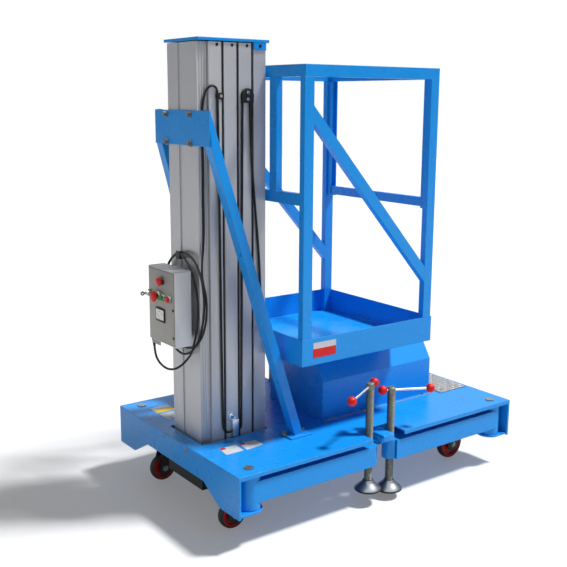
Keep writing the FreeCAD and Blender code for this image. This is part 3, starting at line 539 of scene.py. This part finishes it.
BRACE_BOLTS = [(54, y, z) for y in (-62, 98) for z in (1328, 1424)]
END_PLATE_BOLTS = [(0, 71, 256), (0, -93, 254)]
STRUT_FOOT_BOLTS = [(x, y, DECK_TOP + 6) for x in (345, 424) for y in (-212, 212)]


def make_brace_details():
    bolts("brace_bolts", BRACE_BOLTS, OUT, "root", 8, 13)
    bolts("end_plate_bolts", END_PLATE_BOLTS, OUT, "root", 5, 3.5)
    bolts("strut_foot_bolts", STRUT_FOOT_BOLTS, UP, "root", 9, 10)


# Screw jacks

JACKS = [
    # number, jack x, side, bar angle, bar droop
    ("1", 606.0, -1, 203.0, 6.0),
    ("2", 712.0, -1, -27.0, 0.0),
    ("3", 606.0, 1, 203.0, 6.0),
    ("4", 712.0, 1, -27.0, 0.0),
]
LEG_Y = 381.0
SCREW_R = 15.0
SCREW_ROOT_R = 12.9
HEAD_H = 26.0
HEAD = [(0, 0), (13.8, 0), (15, 1.2), (15, 24.4), (13.4, 26), (0, 26)]
BAR_DROP = 12.0
BAR_R = 5.0
BAR_LONG = 150.0
BAR_SHORT = 34.0
KNOB_R = 17.5
KNOB_STEPS = 20
FOOT_RAISED = 12.0
THREAD_FROM = 30.0
FOOT_RIM = [(0, 0), (48.5, 0), (50, 1.5), (50, 6), (49, 7), (0, 7)]
FOOT_CONE = [
    (0, 7), (49, 7), (48, 9), (38, 18), (28, 27), (22, 33), (20.5, 37), (19, 38.5), (12.9, 38.5),
    (0, 38.5),
]


def add_thread(bm, x, y, low, high, pitch, columns=24):
    # The thread is a band of four rows a turn, sheared so that its rows climb
    per_turn = 4
    turns = int((high - low) / pitch) + 3
    radii = (SCREW_ROOT_R, SCREW_ROOT_R, SCREW_R, SCREW_R)
    offsets = (0.0, 0.22, 0.42, 0.8)
    rows = []
    for r in range(turns * per_turn):
        ring = []
        for i in range(columns):
            height = low + pitch * (r // per_turn + offsets[r % per_turn] + i / columns - 1.5)
            radius = radii[r % per_turn] if low < height < high else SCREW_ROOT_R
            height = min(max(height, low), high)
            turn = 2 * math.pi * i / columns
            ring.append(bm.verts.new(row(x + radius * math.cos(turn),
                                         y + radius * math.sin(turn), height)))
        rows.append(ring)
    for r in range(len(rows) - 1):
        for i in range(columns - 1):
            bm.faces.new([rows[r][i], rows[r][i + 1], rows[r + 1][i + 1], rows[r + 1][i]])
        if r + per_turn + 1 < len(rows):
            bm.faces.new([rows[r][columns - 1], rows[r + per_turn][0],
                          rows[r + per_turn + 1][0], rows[r + 1][columns - 1]])
    bmesh.ops.remove_doubles(bm, verts=bm.verts, dist=1e-6)
    bmesh.ops.dissolve_degenerate(bm, edges=bm.edges, dist=1e-7)


def jack_turn(side, angle, droop):
    level = math.cos(math.radians(droop))
    return Vector((math.cos(math.radians(angle)) * level,
                   -side * math.sin(math.radians(angle)) * level,
                   -math.sin(math.radians(droop))))


def make_jack(number, x, side, angle, droop, pitch):
    body = "jack_" + number
    low, high = node_mm(body)
    y = side * LEG_Y
    foot = low.z + FOOT_RAISED
    top = high.z
    bm = bmesh.new()
    add_thread(bm, x, y, foot + THREAD_FROM, top - HEAD_H + 1, pitch)
    add_lathe(bm, (x, y, top - HEAD_H), UP, HEAD, 32)
    piece_from("screw_" + number, bm, "screw_zinc", body, "zinc_steel", replaces=body)
    for name, profile, finish in (("foot_", FOOT_CONE, "foot_zinc"), ("foot_rim_", FOOT_RIM, "foot_rim")):
        bm = bmesh.new()
        add_lathe(bm, (x, y, foot), UP, profile, 56)
        piece_from(name + number, bm, finish, body, "zinc_steel")
    turn = jack_turn(side, angle, droop)
    start = Vector((x, y, top - BAR_DROP)) - turn * BAR_SHORT
    reach = BAR_LONG + BAR_SHORT
    bm = bmesh.new()
    add_lathe(bm, start, turn, [(0, 0), (BAR_R, 0), (BAR_R, reach), (0, reach)], 24)
    piece_from("turning_bar_" + number, bm, "bright_steel", body, "zinc_steel")
    ball = [(0, -KNOB_R)]
    for i in range(1, KNOB_STEPS):
        bend = math.pi * i / KNOB_STEPS
        ball.append((KNOB_R * math.sin(bend), -KNOB_R * math.cos(bend)))
    ball.append((0, KNOB_R))
    bm = bmesh.new()
    for centre in (start, start + turn * reach):
        add_lathe(bm, centre, turn, ball, 32)
    piece_from("knobs_" + number, bm, "red_plastic", body, sharp=60, replaces="jack_knobs_" + number)


# Casters

CASTERS = [
    # number, body of the fork, swivel centre's x offset from the wheel, height of its seat
    ("1", "swivel_1", 26.0, 135.0),
    ("2", "swivel_2", 26.0, 135.0),
    ("3", "root", 0.0, 155.0),
    ("4", "root", 0.0, 155.0),
]
TREAD_T = 7.5
TREAD_ROUND = 6.0
TREAD_STEPS = 8
RACE_H = 13.0
RACE = [
    (0, 0), (33, 0), (34.5, 1.5), (34.5, 5), (33, 6.5), (35.5, 7), (36.5, 8.5), (36.5, 11),
    (34, 12.6), (0, 12.6),
]
CHEEK_R = 29.0
CHEEK_STEPS = 14
CHEEK_WIDE = 36.0
CHEEK_GAP = 4.2
CHEEK_T = 4.6
SEAT_BOLT = 32.0


def make_caster(number, fork_body, trail, seat_z):
    low, high = node_mm("tyre_" + number)
    centre = (low + high) / 2
    radius = (high.z - low.z) / 2
    half = (high.y - low.y) / 2
    rim = radius - TREAD_T
    wheel = "wheel_" + number
    profile = [(rim, -half + 1.5), (rim + 2, -half + 0.4)]
    for i in range(TREAD_STEPS + 1):
        bend = math.pi * (i / TREAD_STEPS - 0.5)
        profile.append((radius - TREAD_ROUND + TREAD_ROUND * math.cos(bend) ** 0.7,
                        (half - 0.8) * math.sin(bend)))
    profile += [(rim + 2, half - 0.4), (rim, half - 1.5)]
    bm = bmesh.new()
    add_lathe(bm, centre, FAR, profile, 72, closed=True)
    piece_from("tread_" + number, bm, "black_rubber", wheel, sharp=40, replaces="tyre_" + number)
    side = half - 2
    one_face = [(6.3, -side - 1), (14, -side - 1), (15.5, -side), (17, -side + 6),
                (rim - 9, -side + 7), (rim - 6, -side), (rim, -side + 0.5)]
    disc = one_face + [(r, -along) for r, along in reversed(one_face)]
    bm = bmesh.new()
    add_lathe(bm, centre, FAR, disc, 56, closed=True)
    # The wheel disc takes the darker red, painted shade on the wheel
    piece_from("wheel_disc_" + number, bm, "shaded_wheel_red", wheel, "red_plastic", 40, "hub_" + number)
    top = node_mm("fork_" + number)[1].z - 0.3
    bm = bmesh.new()
    add_lathe(bm, (centre.x + trail, centre.y, top - RACE_H), UP, RACE, 48)
    piece_from("swivel_race_" + number, bm, "black_steel", fork_body)
    for label, turn in SIDES:
        y = centre.y + turn * (half + CHEEK_GAP)
        outline = []
        for i in range(CHEEK_STEPS + 1):
            bend = math.pi * (1.06 + 0.88 * i / CHEEK_STEPS)
            outline.append((centre.x + CHEEK_R * math.cos(bend), y,
                            centre.z + CHEEK_R * math.sin(bend)))
        outline += [(centre.x + trail + dx, y, top - 12) for dx in (CHEEK_WIDE, -CHEEK_WIDE)]
        bm = bmesh.new()
        add_prism(bm, outline, (0, turn * CHEEK_T, 0))
        piece_from("fork_cheek_" + number + "_" + label, bm, "black_steel", fork_body)
        y += turn * CHEEK_T
        bolts("axle_nut_" + number + "_" + label, [(centre.x, y, centre.z)], (0, turn, 0),
              fork_body, 8, 5)
    spots = [(centre.x + trail + dx, centre.y + dy, seat_z)
             for dx in (-SEAT_BOLT, SEAT_BOLT) for dy in (-SEAT_BOLT, SEAT_BOLT)]
    bolts("caster_bolts_" + number, spots, DOWN, "root", 5.5, 4.5)


# Control box

CTRL_FRONT = -36.0
CTRL_BACK = 30.0
CTRL_HALF = 94.0
CTRL_BOTTOM = 633.0
CTRL_TOP = 899.0
DOOR_IN = 6.0
SEAL_IN = 4.6
HINGE_IN = 44.0
HINGE = [(0, 0), (3, 0), (3, 26), (0, 26)]
STAY = ((19, 619), (76, 634))
HOOK_LOW = 905.0
BUTTON_Z = 801.0
RESET_Z = 857.0
KEY_Y = 80.0
PUSH_RING = [(0, 0), (13, 0), (13, 4), (11.6, 7), (10, 8), (10, 5), (0, 5)]
PUSH_CAP = [(0, 5), (9.6, 5), (9.6, 15), (8.4, 17), (0, 18)]
TURNED = [
    # name, y, z, finish, profile of radius and height off the door
    ("stop_collar", 18, BUTTON_Z, "zinc_steel", [(0, 0), (16, 0), (16, 3), (13, 8), (0, 8)]),
    ("reset_button", -9, RESET_Z, "red_plastic", [
        (0, 6), (9, 6), (9, 9), (15, 10.5), (16, 12.5), (15.4, 16.5), (11, 20.4), (0, 22)]),
    ("reset_collar", -9, RESET_Z, "black_plastic", [
        (0, 0), (14, 0), (14, 2.5), (11, 6), (0, 6)]),
    ("key_switch", KEY_Y, BUTTON_Z, "bright_steel", [
        (0, 0), (9, 0), (9, 15), (7.6, 17), (0, 17)]),
    ("key_collar", KEY_Y, BUTTON_Z, "green_plastic", [
        (0, 0), (13, 0), (13, 6), (10.5, 8.5), (0, 8.5)]),
    ("up_button_ring", -17, BUTTON_Z, "zinc_steel", PUSH_RING),
    ("up_button", -17, BUTTON_Z, "green_plastic", PUSH_CAP),
    ("down_button_ring", -62, BUTTON_Z, "zinc_steel", PUSH_RING),
    ("down_button", -62, BUTTON_Z, "red_plastic", PUSH_CAP),
]
STOP_HEAD = [
    (0, 8), (10, 8), (10, 17), (18, 18), (20, 19.5), (20, 23.5), (18, 26.5), (13, 28.4), (0, 29.5),
]
KEY_BOW = [(2.5, 0), (8, 0), (8, 2.4), (2.5, 2.4)]
LATCH = [(0, 0), (5, 0), (5, 1.6), (3.8, 2.4), (0, 2.4)]
LATCHES = (CTRL_BOTTOM + 132, CTRL_BOTTOM + 34)


def make_control_box():
    front = CTRL_FRONT

    def slab(bm, inset, x0, x1, round_mm):
        add_box(bm, (front + x0, -CTRL_HALF + inset, CTRL_BOTTOM + inset),
                (front + x1, CTRL_HALF - inset, CTRL_TOP - inset), round_mm)

    bm = bmesh.new()
    add_box(bm, (front + 1.4, -CTRL_HALF, CTRL_BOTTOM), (CTRL_BACK, CTRL_HALF, CTRL_TOP), 3, 3)
    # The shell takes the pale copy of the box paint, painted light on its sides
    piece_from("box_shell", bm, "sunlit_box_enamel", "root", "grey_enamel", replaces="control_box")
    bm = bmesh.new()
    slab(bm, DOOR_IN, 0, 5, 1.2)
    # The door takes the darker grey copy of the same paint, painted shade
    piece_from("box_door", bm, "grey_enamel", "root")
    bm = bmesh.new()
    slab(bm, SEAL_IN, 1, 4, 0)
    piece_from("door_seal", bm, "black_plastic", "root")
    bm = bmesh.new()
    for z in (CTRL_BOTTOM + HINGE_IN, CTRL_TOP - HINGE_IN):
        add_lathe(bm, (front + 8, CTRL_HALF + 1.5, z - 13), UP, HINGE, 16)
    add_box(bm, (front + 2, *STAY[0]), (front + 5, *STAY[1]), 0.6, 1)
    piece_from("hinges_and_foot", bm, "grey_enamel", "root")
    for name, y, z, finish, profile in [("stop_button", 18, BUTTON_Z, "red_plastic", STOP_HEAD)] + TURNED:
        bm = bmesh.new()
        add_lathe(bm, (front, y, z), OUT, profile)
        piece_from(name, bm, finish, "root", "control_plastic", 45,
                   "control_buttons" if name == "stop_button" else "")
    bm = bmesh.new()
    add_box(bm, (front - 26, KEY_Y - 1.2, BUTTON_Z - 4), (front - 16.5, KEY_Y + 1.2, BUTTON_Z + 4), 0.8)
    add_lathe(bm, (front - 31, KEY_Y - 1.2, BUTTON_Z), FAR, KEY_BOW, 28, closed=True)
    piece_from("key", bm, "bright_steel", "root", "control_plastic")
    make_meter(front)
    bm = bmesh.new()
    for z in LATCHES:
        add_lathe(bm, (front, -82, z), OUT, LATCH, 28)
    piece_from("door_latches", bm, "black_steel", "root", "zinc_steel")
    # The cable hook above the box is black, and the well under the mast is painted black as painted shade
    # under the base
    hook = NODES["control_hangers"].data
    hook.materials.append(FINISH["black_steel"])
    for face in hook.polygons:
        if face.center.z > HOOK_LOW * MM:
            face.material_index = 1
    shaded_well = NODES["mast_well"].data
    shaded_well.materials.clear()
    shaded_well.materials.append(FINISH["black_steel"])


METER_PIVOT = 14.0
METER_TICKS = 11
METER_FROM = 145.0
METER_SWEEP = 110.0
METER_READS = 140.0
TICK_OUT = 25.5
NEEDLE_LONG = 21.0


def make_meter(front):
    low, high = node_mm("control_meter")
    bm = bmesh.new()
    add_box(bm, (low.x, low.y, low.z), (front, high.y, high.z), 1.4, 2)
    piece_from("meter_case", bm, "black_plastic", "root", "control_plastic", replaces="control_meter")
    bm = bmesh.new()
    add_box(bm, (low.x - 0.4, low.y + 5, low.z + 8), (low.x + 1, high.y - 5, high.z - 5), 0.2, 1)
    piece_from("meter_dial", bm, "white_paint", "root", "control_plastic")
    bm = bmesh.new()

    def add_mark(angle, inner, outer, lift, foot_half, tip_half):
        # A thin bar on the dial from one radius to another, seen from the front
        bend = math.radians(angle)
        pivot = Vector((low.x - lift, (low.y + high.y) / 2, low.z + METER_PIVOT))
        along = Vector((0, -math.cos(bend), math.sin(bend)))
        across = Vector((0, -math.sin(bend), -math.cos(bend)))
        foot = pivot + along * inner
        tip = pivot + along * outer
        add_prism(bm, [foot - across * foot_half, tip - across * tip_half,
                       tip + across * tip_half, foot + across * foot_half], (0.2, 0, 0))

    for i in range(METER_TICKS):
        angle = METER_FROM - METER_SWEEP * i / (METER_TICKS - 1)
        add_mark(angle, 22 if i % 5 else 19, TICK_OUT, 0.5, 0.45, 0.45)
    add_mark(METER_READS, 0, NEEDLE_LONG, 0.6, 0.5, 0.2)
    piece_from("meter_scale", bm, "black_plastic", "root", "control_plastic")


# Cables

CABLE_D = 8.0
SUPPLY_LOW = [
    (-24, 82, 611), (-23, 81, 575), (-16, 66, 543), (-3, 34, 524), (10, 2, 527),
    (22, -28, 546), (34, -52, 573), (44, -72, 604),
]
SUPPLY_HIGH = [
    (50, -135, 868), (55, -124, 905), (66, -109, 942), (76, -102, 985), (79, -101, 1050),
    (77, -101, 1150), (79, -101.5, 1260), (77, -101, 1360), (78, -101.5, 1435),
    (82, -102, 1475), (89, -106, 1502), (101, -113, 1517), (116, -114, 1518),
    (127, -113.5, 1509), (131, -113, 1497), (131, -113, 1477),
]
RUN_DOWN = [
    (131, -113, 1477), (132.5, -113, 1435), (141, -113, 345), (144, -113, 312),
    (154, -113.5, 295), (167, -113, 292), (179.7, -113, 292),
]
RUN_UP = [
    (208.3, -113, 294), (217, -113, 294), (221, -113, 312), (221, -113, 345),
    (230, -113, 1425), (231, -113, 1462),
]
RUN_PLATFORM = [
    (262, -113, 1462), (263, -113, 1410), (267, -113, 1290), (276, -113, 1170),
    (288, -113, 1050), (299, -113, 930), (304, -113, 830), (305, -115, 770), (305, -115, 740),
]
MAST_RUNS = [
    # name, route, upper body, lower body, where the stretch starts and ends, solid's name
    ("cable_run_down", RUN_DOWN, "root", "stage_2", RUN_DOWN[0], RUN_DOWN[3], "mast_cable_1"),
    ("cable_run_up", RUN_UP, "stage_2", "stage_3", RUN_UP[1], RUN_UP[-1], "mast_cable_2"),
    ("cable_to_platform", RUN_PLATFORM, "stage_3", "platform", RUN_PLATFORM[0], RUN_PLATFORM[-1],
     "mast_cable_2"),
]
COIL_STAGES = [
    # turns made, middle y, half width, middle z, half height, x
    (0.0, 6, 126, 760, 186, 43),
    (0.35, 6, 124, 760, 182, 42),
    (0.75, 13, 118, 762, 186, 43),
    (1.0, -6, 138, 770, 192, 45),
    (1.3, -20, 154, 776, 180, 46),
    (1.7, -18, 152, 779, 177, 48),
    (2.0, -14, 148, 776, 172, 51),
    (2.22, -14, 148, 775, 171, 52),
]
COIL_START = -140.0
GLAND = [
    (0, 0), (9, 0), (9, 6), (7, 6.6), (7, 14), (6.2, 17), (5, 24), (4.2, 30), (0, 30),
]


def coil_points(count):
    # The cable is wound on an ellipse that drifts from stage to stage
    points = []
    last = COIL_STAGES[-1][0]
    steps = int(last * count)
    for i in range(steps + 1):
        done = last * i / steps
        for a, b in zip(COIL_STAGES, COIL_STAGES[1:]):
            if a[0] <= done <= b[0]:
                share = (done - a[0]) / (b[0] - a[0])
                _, y, wide, z, high, x = (p + (q - p) * share for p, q in zip(a, b))
                break
        turn = math.radians(COIL_START - 360 * done)
        points.append((x, y + wide * math.cos(turn), z + high * math.sin(turn)))
    return points


def cable_curve(name, points, steps):
    data = bpy.data.curves.new(name, "CURVE")
    data.dimensions = "3D"
    data.resolution_u = steps
    data.bevel_depth = CABLE_D / 2 * MM
    data.bevel_resolution = 4
    data.use_fill_caps = True
    spline = data.splines.new("NURBS")
    spline.points.add(len(points) - 1)
    for point, place in zip(spline.points, points):
        point.co = (*row(*place), 1.0)
    spline.use_endpoint_u = True
    spline.order_u = 3
    data.materials.append(FINISH["black_cable"])
    return link(name, data)


def line_length(curve):
    # Length of the smooth line, read from the curve with no thickness
    width = curve.data.bevel_depth
    curve.data.bevel_depth = 0.0
    mesh = finished_mesh(curve)
    corners = [v.co.copy() for v in mesh.vertices]
    bpy.data.meshes.remove(mesh)
    curve.data.bevel_depth = width
    return sum((b - a).length for a, b in zip(corners, corners[1:]))


def make_supply_cable(settings):
    route = SUPPLY_LOW + coil_points(settings.coil_strands)[1:-1] + SUPPLY_HIGH
    cable = cable_curve("supply_lead", route, 8)
    length = line_length(cable)
    print("supply lead length", round(length, 3))
    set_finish(cable, "black_cable")
    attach(cable, "root")
    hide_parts("supply_cable", "supply_coil")
    bm = bmesh.new()
    x, y, _ = SUPPLY_LOW[0]
    add_lathe(bm, (x, y, CTRL_BOTTOM), DOWN, GLAND, 24)
    piece_from("gland", bm, "black_plastic", "root", replaces="cable_gland")


CLIP = (146.0, 1484.0)
CLIP_PAD = [(0, 0.2), (11.5, 0.2), (12, 1), (12, 3.6), (11, 4.6), (0, 4.6)]
CLAMP_X = 250.0
CLAMP_HALF = 24.0
CLAMP_LOW = 1462.0
CLAMP_BEND = 1487.0
CLAMP_OUT = 12.0
CLAMP_STEPS = 12
GUIDE = (181.0, 346.0)
GUIDE_EYE = [(6, 0), (12, 0), (13, 1), (13, 5), (12, 6), (6, 6)]
GUIDE_TAB = ((179.9, 272), (208.1, 337))
GUIDE_NECK = ((176, 332), (200, 343))


def make_mast_cables():
    for name, route, first, second, start, end, node in MAST_RUNS:
        curve = cable_curve(name, route, 12)
        mesh = finished_mesh(curve)
        bpy.data.objects.remove(curve)
        mesh.shade_smooth()
        tube = link(name, mesh)
        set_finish(tube, "black_cable")
        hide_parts(node)
        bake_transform(tube)
    face = -SECTION_HALF
    bm = bmesh.new()
    x, z = CLIP
    add_lathe(bm, (x, face, z), NEAR, CLIP_PAD, 32)
    piece_from("clip_pad", bm, "black_plastic", "root")
    bolts("clip_screw", [(x, face - 4.6, z)], NEAR, "root", 3.6, 2.5, ROUND, "bright_steel")
    outline = [(CLAMP_X - CLAMP_HALF, face, CLAMP_LOW), (CLAMP_X + CLAMP_HALF, face, CLAMP_LOW)]
    for i in range(CLAMP_STEPS + 1):
        bend = math.pi * i / CLAMP_STEPS
        outline.append((CLAMP_X + CLAMP_HALF * math.cos(bend), face,
                        CLAMP_BEND + CLAMP_HALF * math.sin(bend)))
    bm = bmesh.new()
    add_prism(bm, outline, (0, -CLAMP_OUT, 0))
    edges = [e for e in bm.edges if abs(e.verts[0].co.y - e.verts[1].co.y) < 1e-6]
    bmesh.ops.bevel(bm, geom=edges, offset=1.4 * MM, segments=2, affect="EDGES", profile=0.5)
    piece_from("clamp_body", bm, "black_plastic", "stage_3", replaces="cable_clamp")
    bolts("clamp_screws", [(CLAMP_X, face - CLAMP_OUT, z) for z in (1474, 1497)], NEAR,
          "stage_3", 3.8, 2.5, ROUND, "bright_steel")
    bm = bmesh.new()
    x, z = GUIDE
    for corners, out, round_mm, steps in ((GUIDE_TAB, 10, 1.5, 2), (GUIDE_NECK, 4, 1, 1)):
        (x0, z0), (x1, z1) = corners
        add_box(bm, (x0, face - out, z0), (x1, face, z1), round_mm, steps)
    add_lathe(bm, (x, face, z), NEAR, GUIDE_EYE, 36, closed=True)
    piece_from("guide_tab", bm, "bright_steel", "stage_2", "zinc_steel", replaces="cable_guide")
    bolts("guide_screw", [(x, face - 3, z)], NEAR, "stage_2", 4.5, 4)


# Deck, guard and cover

TREAD_MARGIN = 6.0
LIP_LOW = 255.0
COVER_SCREWS = 4
SCREW_END = 40.0
FLANGE_MIDDLE = 7.0
STOP_X = (640.0, 694.0)
STOP_Y = (342.0, 424.0)
STOP_Z = (240.2, 267.0)


def make_step_tread(settings):
    low, high = node_mm("step_plate")
    pitch = settings.tread_pitch
    counts = [int((size - TREAD_MARGIN) * MM / pitch) + 1 for size in (high.x - low.x, high.y - low.y)]
    base = bpy.data.meshes.new("tread base")
    base.from_pydata([(0, 0, 0)], [], [])
    tread = grow("step_tread", base, tread_tree(), {
        "Pitch": pitch, "Size X": (counts[0] - 1) * pitch, "Size Y": (counts[1] - 1) * pitch,
        "Count X": counts[0], "Count Y": counts[1], "Finish": FINISH["step_aluminium"],
    }, "root", "step_aluminium", 60)
    middle = row((low.x + high.x) / 2, (low.y + high.y) / 2, high.z)
    for vertex in tread.data.vertices:
        vertex.co += middle


def make_cover_details():
    low, high = node_mm("power_cover")
    spots = []
    for i in range(COVER_SCREWS):
        x = low.x + SCREW_END + i * (high.x - low.x - 2 * SCREW_END) / (COVER_SCREWS - 1)
        spots += [(x, y, DECK_TOP + 3) for y in (low.y + FLANGE_MIDDLE, high.y - FLANGE_MIDDLE)]
    bolts("cover_screws", spots, UP, "root", 4.5, 3, ROUND)
    bm = bmesh.new()
    for y0, y1 in ((low.y - 1.4, low.y + 1.2), (high.y - 1.2, high.y + 1.4)):
        add_box(bm, (low.x + 1, y0, DECK_TOP + 0.1), (high.x - 1, y1, DECK_TOP + 3.2), 0.6, 1)
    piece_from("cover_seal", bm, "grey_enamel", "root")


def make_deck_sheet():
    raise_edge("deck", "deck_sheet", LIP_LOW, LIP_LOW)
    bm = bmesh.new()
    add_box_pair(bm, STOP_X, STOP_Y, STOP_Z, 3, 2)
    piece_from("leg_stops", bm, "blue_enamel", "root")


LABEL_T = 0.4
LABELS = [
    # name, corner points, finish, height of its underside over the deck
    ("near_label_a", [(82, -180), (150, -184), (144, -242), (73, -243)], "grey_label", 0.0),
    ("near_label_b", [(164, -182), (231, -186), (233, -237), (157, -245)], "grey_label", 0.0),
    ("near_corner_a", [(83, -181), (102, -182), (100, -199), (80, -198)], "red_label", 0.35),
    ("near_corner_b", [(165, -183), (184, -184), (183, -200), (163, -199)], "red_label", 0.35),
    ("far_label_a", [(80, 330), (160, 330), (160, 300), (80, 300)], "grey_label", 0.0),
    ("far_label_c", [(80, 300), (160, 300), (160, 266), (80, 266)], "yellow_label", 0.0),
    ("far_label_b", [(80, 252), (150, 252), (150, 186), (80, 186)], "grey_label", 0.0),
]
PLATE_X = (389.0, 492.0)
PLATES = [("plate_upper", 614, 636, "grey_label"), ("plate_lower", 582, 614, "red_label")]


def make_labels():
    # All of them are blank
    for name, corners, finish, lift in LABELS:
        bm = bmesh.new()
        add_prism(bm, [(x, y, DECK_TOP + lift) for x, y in corners], (0, 0, LABEL_T))
        piece_from(name, bm, finish, "root", "blue_enamel")
    face = node_mm("tray")[0].y
    for name, z0, z1, finish in PLATES:
        bm = bmesh.new()
        add_box(bm, (PLATE_X[0], face - 1.0, z0), (PLATE_X[1], face, z1))
        piece_from(name, bm, finish, "platform", "blue_enamel")


# Room, light and camera

CAMERA_AT = (-2.12239, -2.68717, 1.47423)
CAMERA_YAW = 36.35536
CAMERA_PITCH = 11.67815
CAMERA_ROLL = 0.32853
LENS_MM = 56.553
SUNS = [
    # name, direction of its rays, strength, spread in degrees
    ("Key sun", (-0.5, 0.3, -1.0), 4.35, 8.0),
    ("Fill sun", (0.8, 0.35, -0.45), 0.12, 40.0),
]
ROOM_DIFFUSE = 0.1
ROOM_MIRRORED = 0.3
SKY_MIRRORED = 3.2
FLOOR_R = 20.0
FLOOR_GLOW = 0.18


def make_camera():
    yaw = math.radians(CAMERA_YAW)
    pitch = math.radians(CAMERA_PITCH)
    roll = math.radians(CAMERA_ROLL)
    ahead = Vector((math.sin(yaw) * math.cos(pitch), math.cos(yaw) * math.cos(pitch),
                    -math.sin(pitch)))
    right = ahead.cross(Vector(UP)).normalized()
    up = right.cross(ahead)
    right_rolled = right * math.cos(roll) + up * math.sin(roll)
    up_rolled = up * math.cos(roll) - right * math.sin(roll)
    data = bpy.data.cameras.new("Camera")
    data.lens = LENS_MM
    data.sensor_width = 36.0
    camera = link("Camera", data)
    turn = Matrix((right_rolled, up_rolled, -ahead)).transposed()
    camera.matrix_world = Matrix.Translation(Vector(CAMERA_AT)) @ turn.to_4x4()
    bpy.context.scene.camera = camera


def make_light():
    for name, direction, strength, spread in SUNS:
        data = bpy.data.lights.new(name, "SUN")
        data.energy = strength
        data.angle = math.radians(spread)
        lamp = link(name, data)
        lamp.rotation_mode = "QUATERNION"
        lamp.rotation_quaternion = Vector(direction).to_track_quat("-Z", "Y")
    # The room is white to the eye, dim to matt faces, and to shiny ones bright only high up
    world = bpy.data.worlds.new("Pale room")
    world.use_nodes = True
    tree = world.node_tree
    background = tree.nodes["Background"]
    background.inputs["Color"].default_value = (1, 1, 1, 1)
    path = add_node(tree, "ShaderNodeLightPath").outputs
    toward = add_node(tree, "ShaderNodeTexCoord").outputs["Generated"]
    height = add_node(tree, "ShaderNodeSeparateXYZ", toward).outputs["Z"]
    sky = add_node(tree, "ShaderNodeMapRange", Value=height, From_Min=0.25, From_Max=0.8,
                   To_Min=ROOM_MIRRORED, To_Max=SKY_MIRRORED)
    lit = add_node(tree, "ShaderNodeMapRange", Value=path["Is Glossy Ray"], To_Min=ROOM_DIFFUSE,
                   To_Max=sky)
    seen = add_node(tree, "ShaderNodeMath", lit, path["Is Camera Ray"], operation="MAXIMUM")
    tree.links.new(seen.outputs[0], background.inputs["Strength"])
    bpy.context.scene.world = world
    bpy.context.scene.view_settings.view_transform = "Standard"


def make_floor():
    bm = bmesh.new()
    bmesh.ops.create_circle(bm, cap_ends=True, radius=FLOOR_R, segments=96)
    mesh = bpy.data.meshes.new("Floor")
    bm.to_mesh(mesh)
    bm.free()
    # Matt white floor that glows a little, so that the shadow on it stays pale
    mesh.materials.append(lay_finish("Pale floor", Roughness=0.9, Base_Color=linear("D1D1D2"),
                                 Emission_Color=linear("FFFFFF"), Emission_Strength=FLOOR_GLOW))
    link("Floor", mesh)


# Operators, one for each group of pieces

class MASTLIFT_OT_finishes(Operator):
    """Make the finishes and lay them on the solids"""
    bl_idname = "mastlift.finishes"
    bl_label = "Lay finishes"

    def execute(self, context):
        make_finishes(context.scene.mast_lift)
        return {"FINISHED"}


class MASTLIFT_OT_cables(Operator):
    """Lay the supply cable and the cables along the mast"""
    bl_idname = "mastlift.cables"
    bl_label = "Lay cables"

    def execute(self, context):
        make_supply_cable(context.scene.mast_lift)
        make_mast_cables()
        return {"FINISHED"}


class MASTLIFT_OT_mast(Operator):
    """Add black slide strips, painted shade in the gaps, and fasteners to the mast and its brace"""
    bl_idname = "mastlift.mast"
    bl_label = "Dress mast"

    def execute(self, context):
        make_mast_details()
        make_brace_details()
        return {"FINISHED"}


class MASTLIFT_OT_jacks(Operator):
    """Cut the threads and form the feet, bars and knobs of the four jacks"""
    bl_idname = "mastlift.jacks"
    bl_label = "Dress jacks"

    def execute(self, context):
        pitch = context.scene.mast_lift.thread_pitch / MM
        for jack in JACKS:
            make_jack(*jack, pitch)
        return {"FINISHED"}


class MASTLIFT_OT_casters(Operator):
    """Form the tyres, wheel discs, races and bolts of the four casters"""
    bl_idname = "mastlift.casters"
    bl_label = "Dress casters"

    def execute(self, context):
        for caster in CASTERS:
            make_caster(*caster)
        return {"FINISHED"}


class MASTLIFT_OT_control(Operator):
    """Form the control box with its door, buttons, key and meter"""
    bl_idname = "mastlift.control"
    bl_label = "Dress control box"

    def execute(self, context):
        make_control_box()
        return {"FINISHED"}


class MASTLIFT_OT_deck(Operator):
    """Add the step's tread, the cover's screws and the blank labels"""
    bl_idname = "mastlift.deck"
    bl_label = "Dress deck"

    def execute(self, context):
        make_step_tread(context.scene.mast_lift)
        make_deck_sheet()
        make_cover_details()
        make_labels()
        return {"FINISHED"}


class MASTLIFT_OT_stage(Operator):
    """Set up the floor, the light and the camera"""
    bl_idname = "mastlift.stage"
    bl_label = "Set stage"

    def execute(self, context):
        make_camera()
        make_light()
        make_floor()
        return {"FINISHED"}


STEPS = (
    MASTLIFT_OT_finishes, MASTLIFT_OT_cables, MASTLIFT_OT_mast, MASTLIFT_OT_jacks,
    MASTLIFT_OT_casters, MASTLIFT_OT_control, MASTLIFT_OT_deck, MASTLIFT_OT_stage,
)


class MASTLIFT_PT_panel(Panel):
    bl_label = "Mast lift"
    bl_space_type = "VIEW_3D"
    bl_region_type = "UI"
    bl_category = "Mast lift"

    def draw(self, context):
        settings = context.scene.mast_lift
        for name in MastLiftSettings.__annotations__:
            self.layout.prop(settings, name)
        for step in STEPS:
            self.layout.operator(step.bl_idname)


CLASSES = (MastLiftSettings,) + STEPS + (MASTLIFT_PT_panel,)


def register():
    for item in CLASSES:
        bpy.utils.register_class(item)
    bpy.types.Scene.mast_lift = PointerProperty(type=MastLiftSettings)


def unregister():
    del bpy.types.Scene.mast_lift
    for item in reversed(CLASSES):
        bpy.utils.unregister_class(item)


def main():
    register()
    for step in STEPS:
        group, name = step.bl_idname.split(".")
        getattr(getattr(bpy.ops, group), name)()


if __name__ == "__main__":
    main()
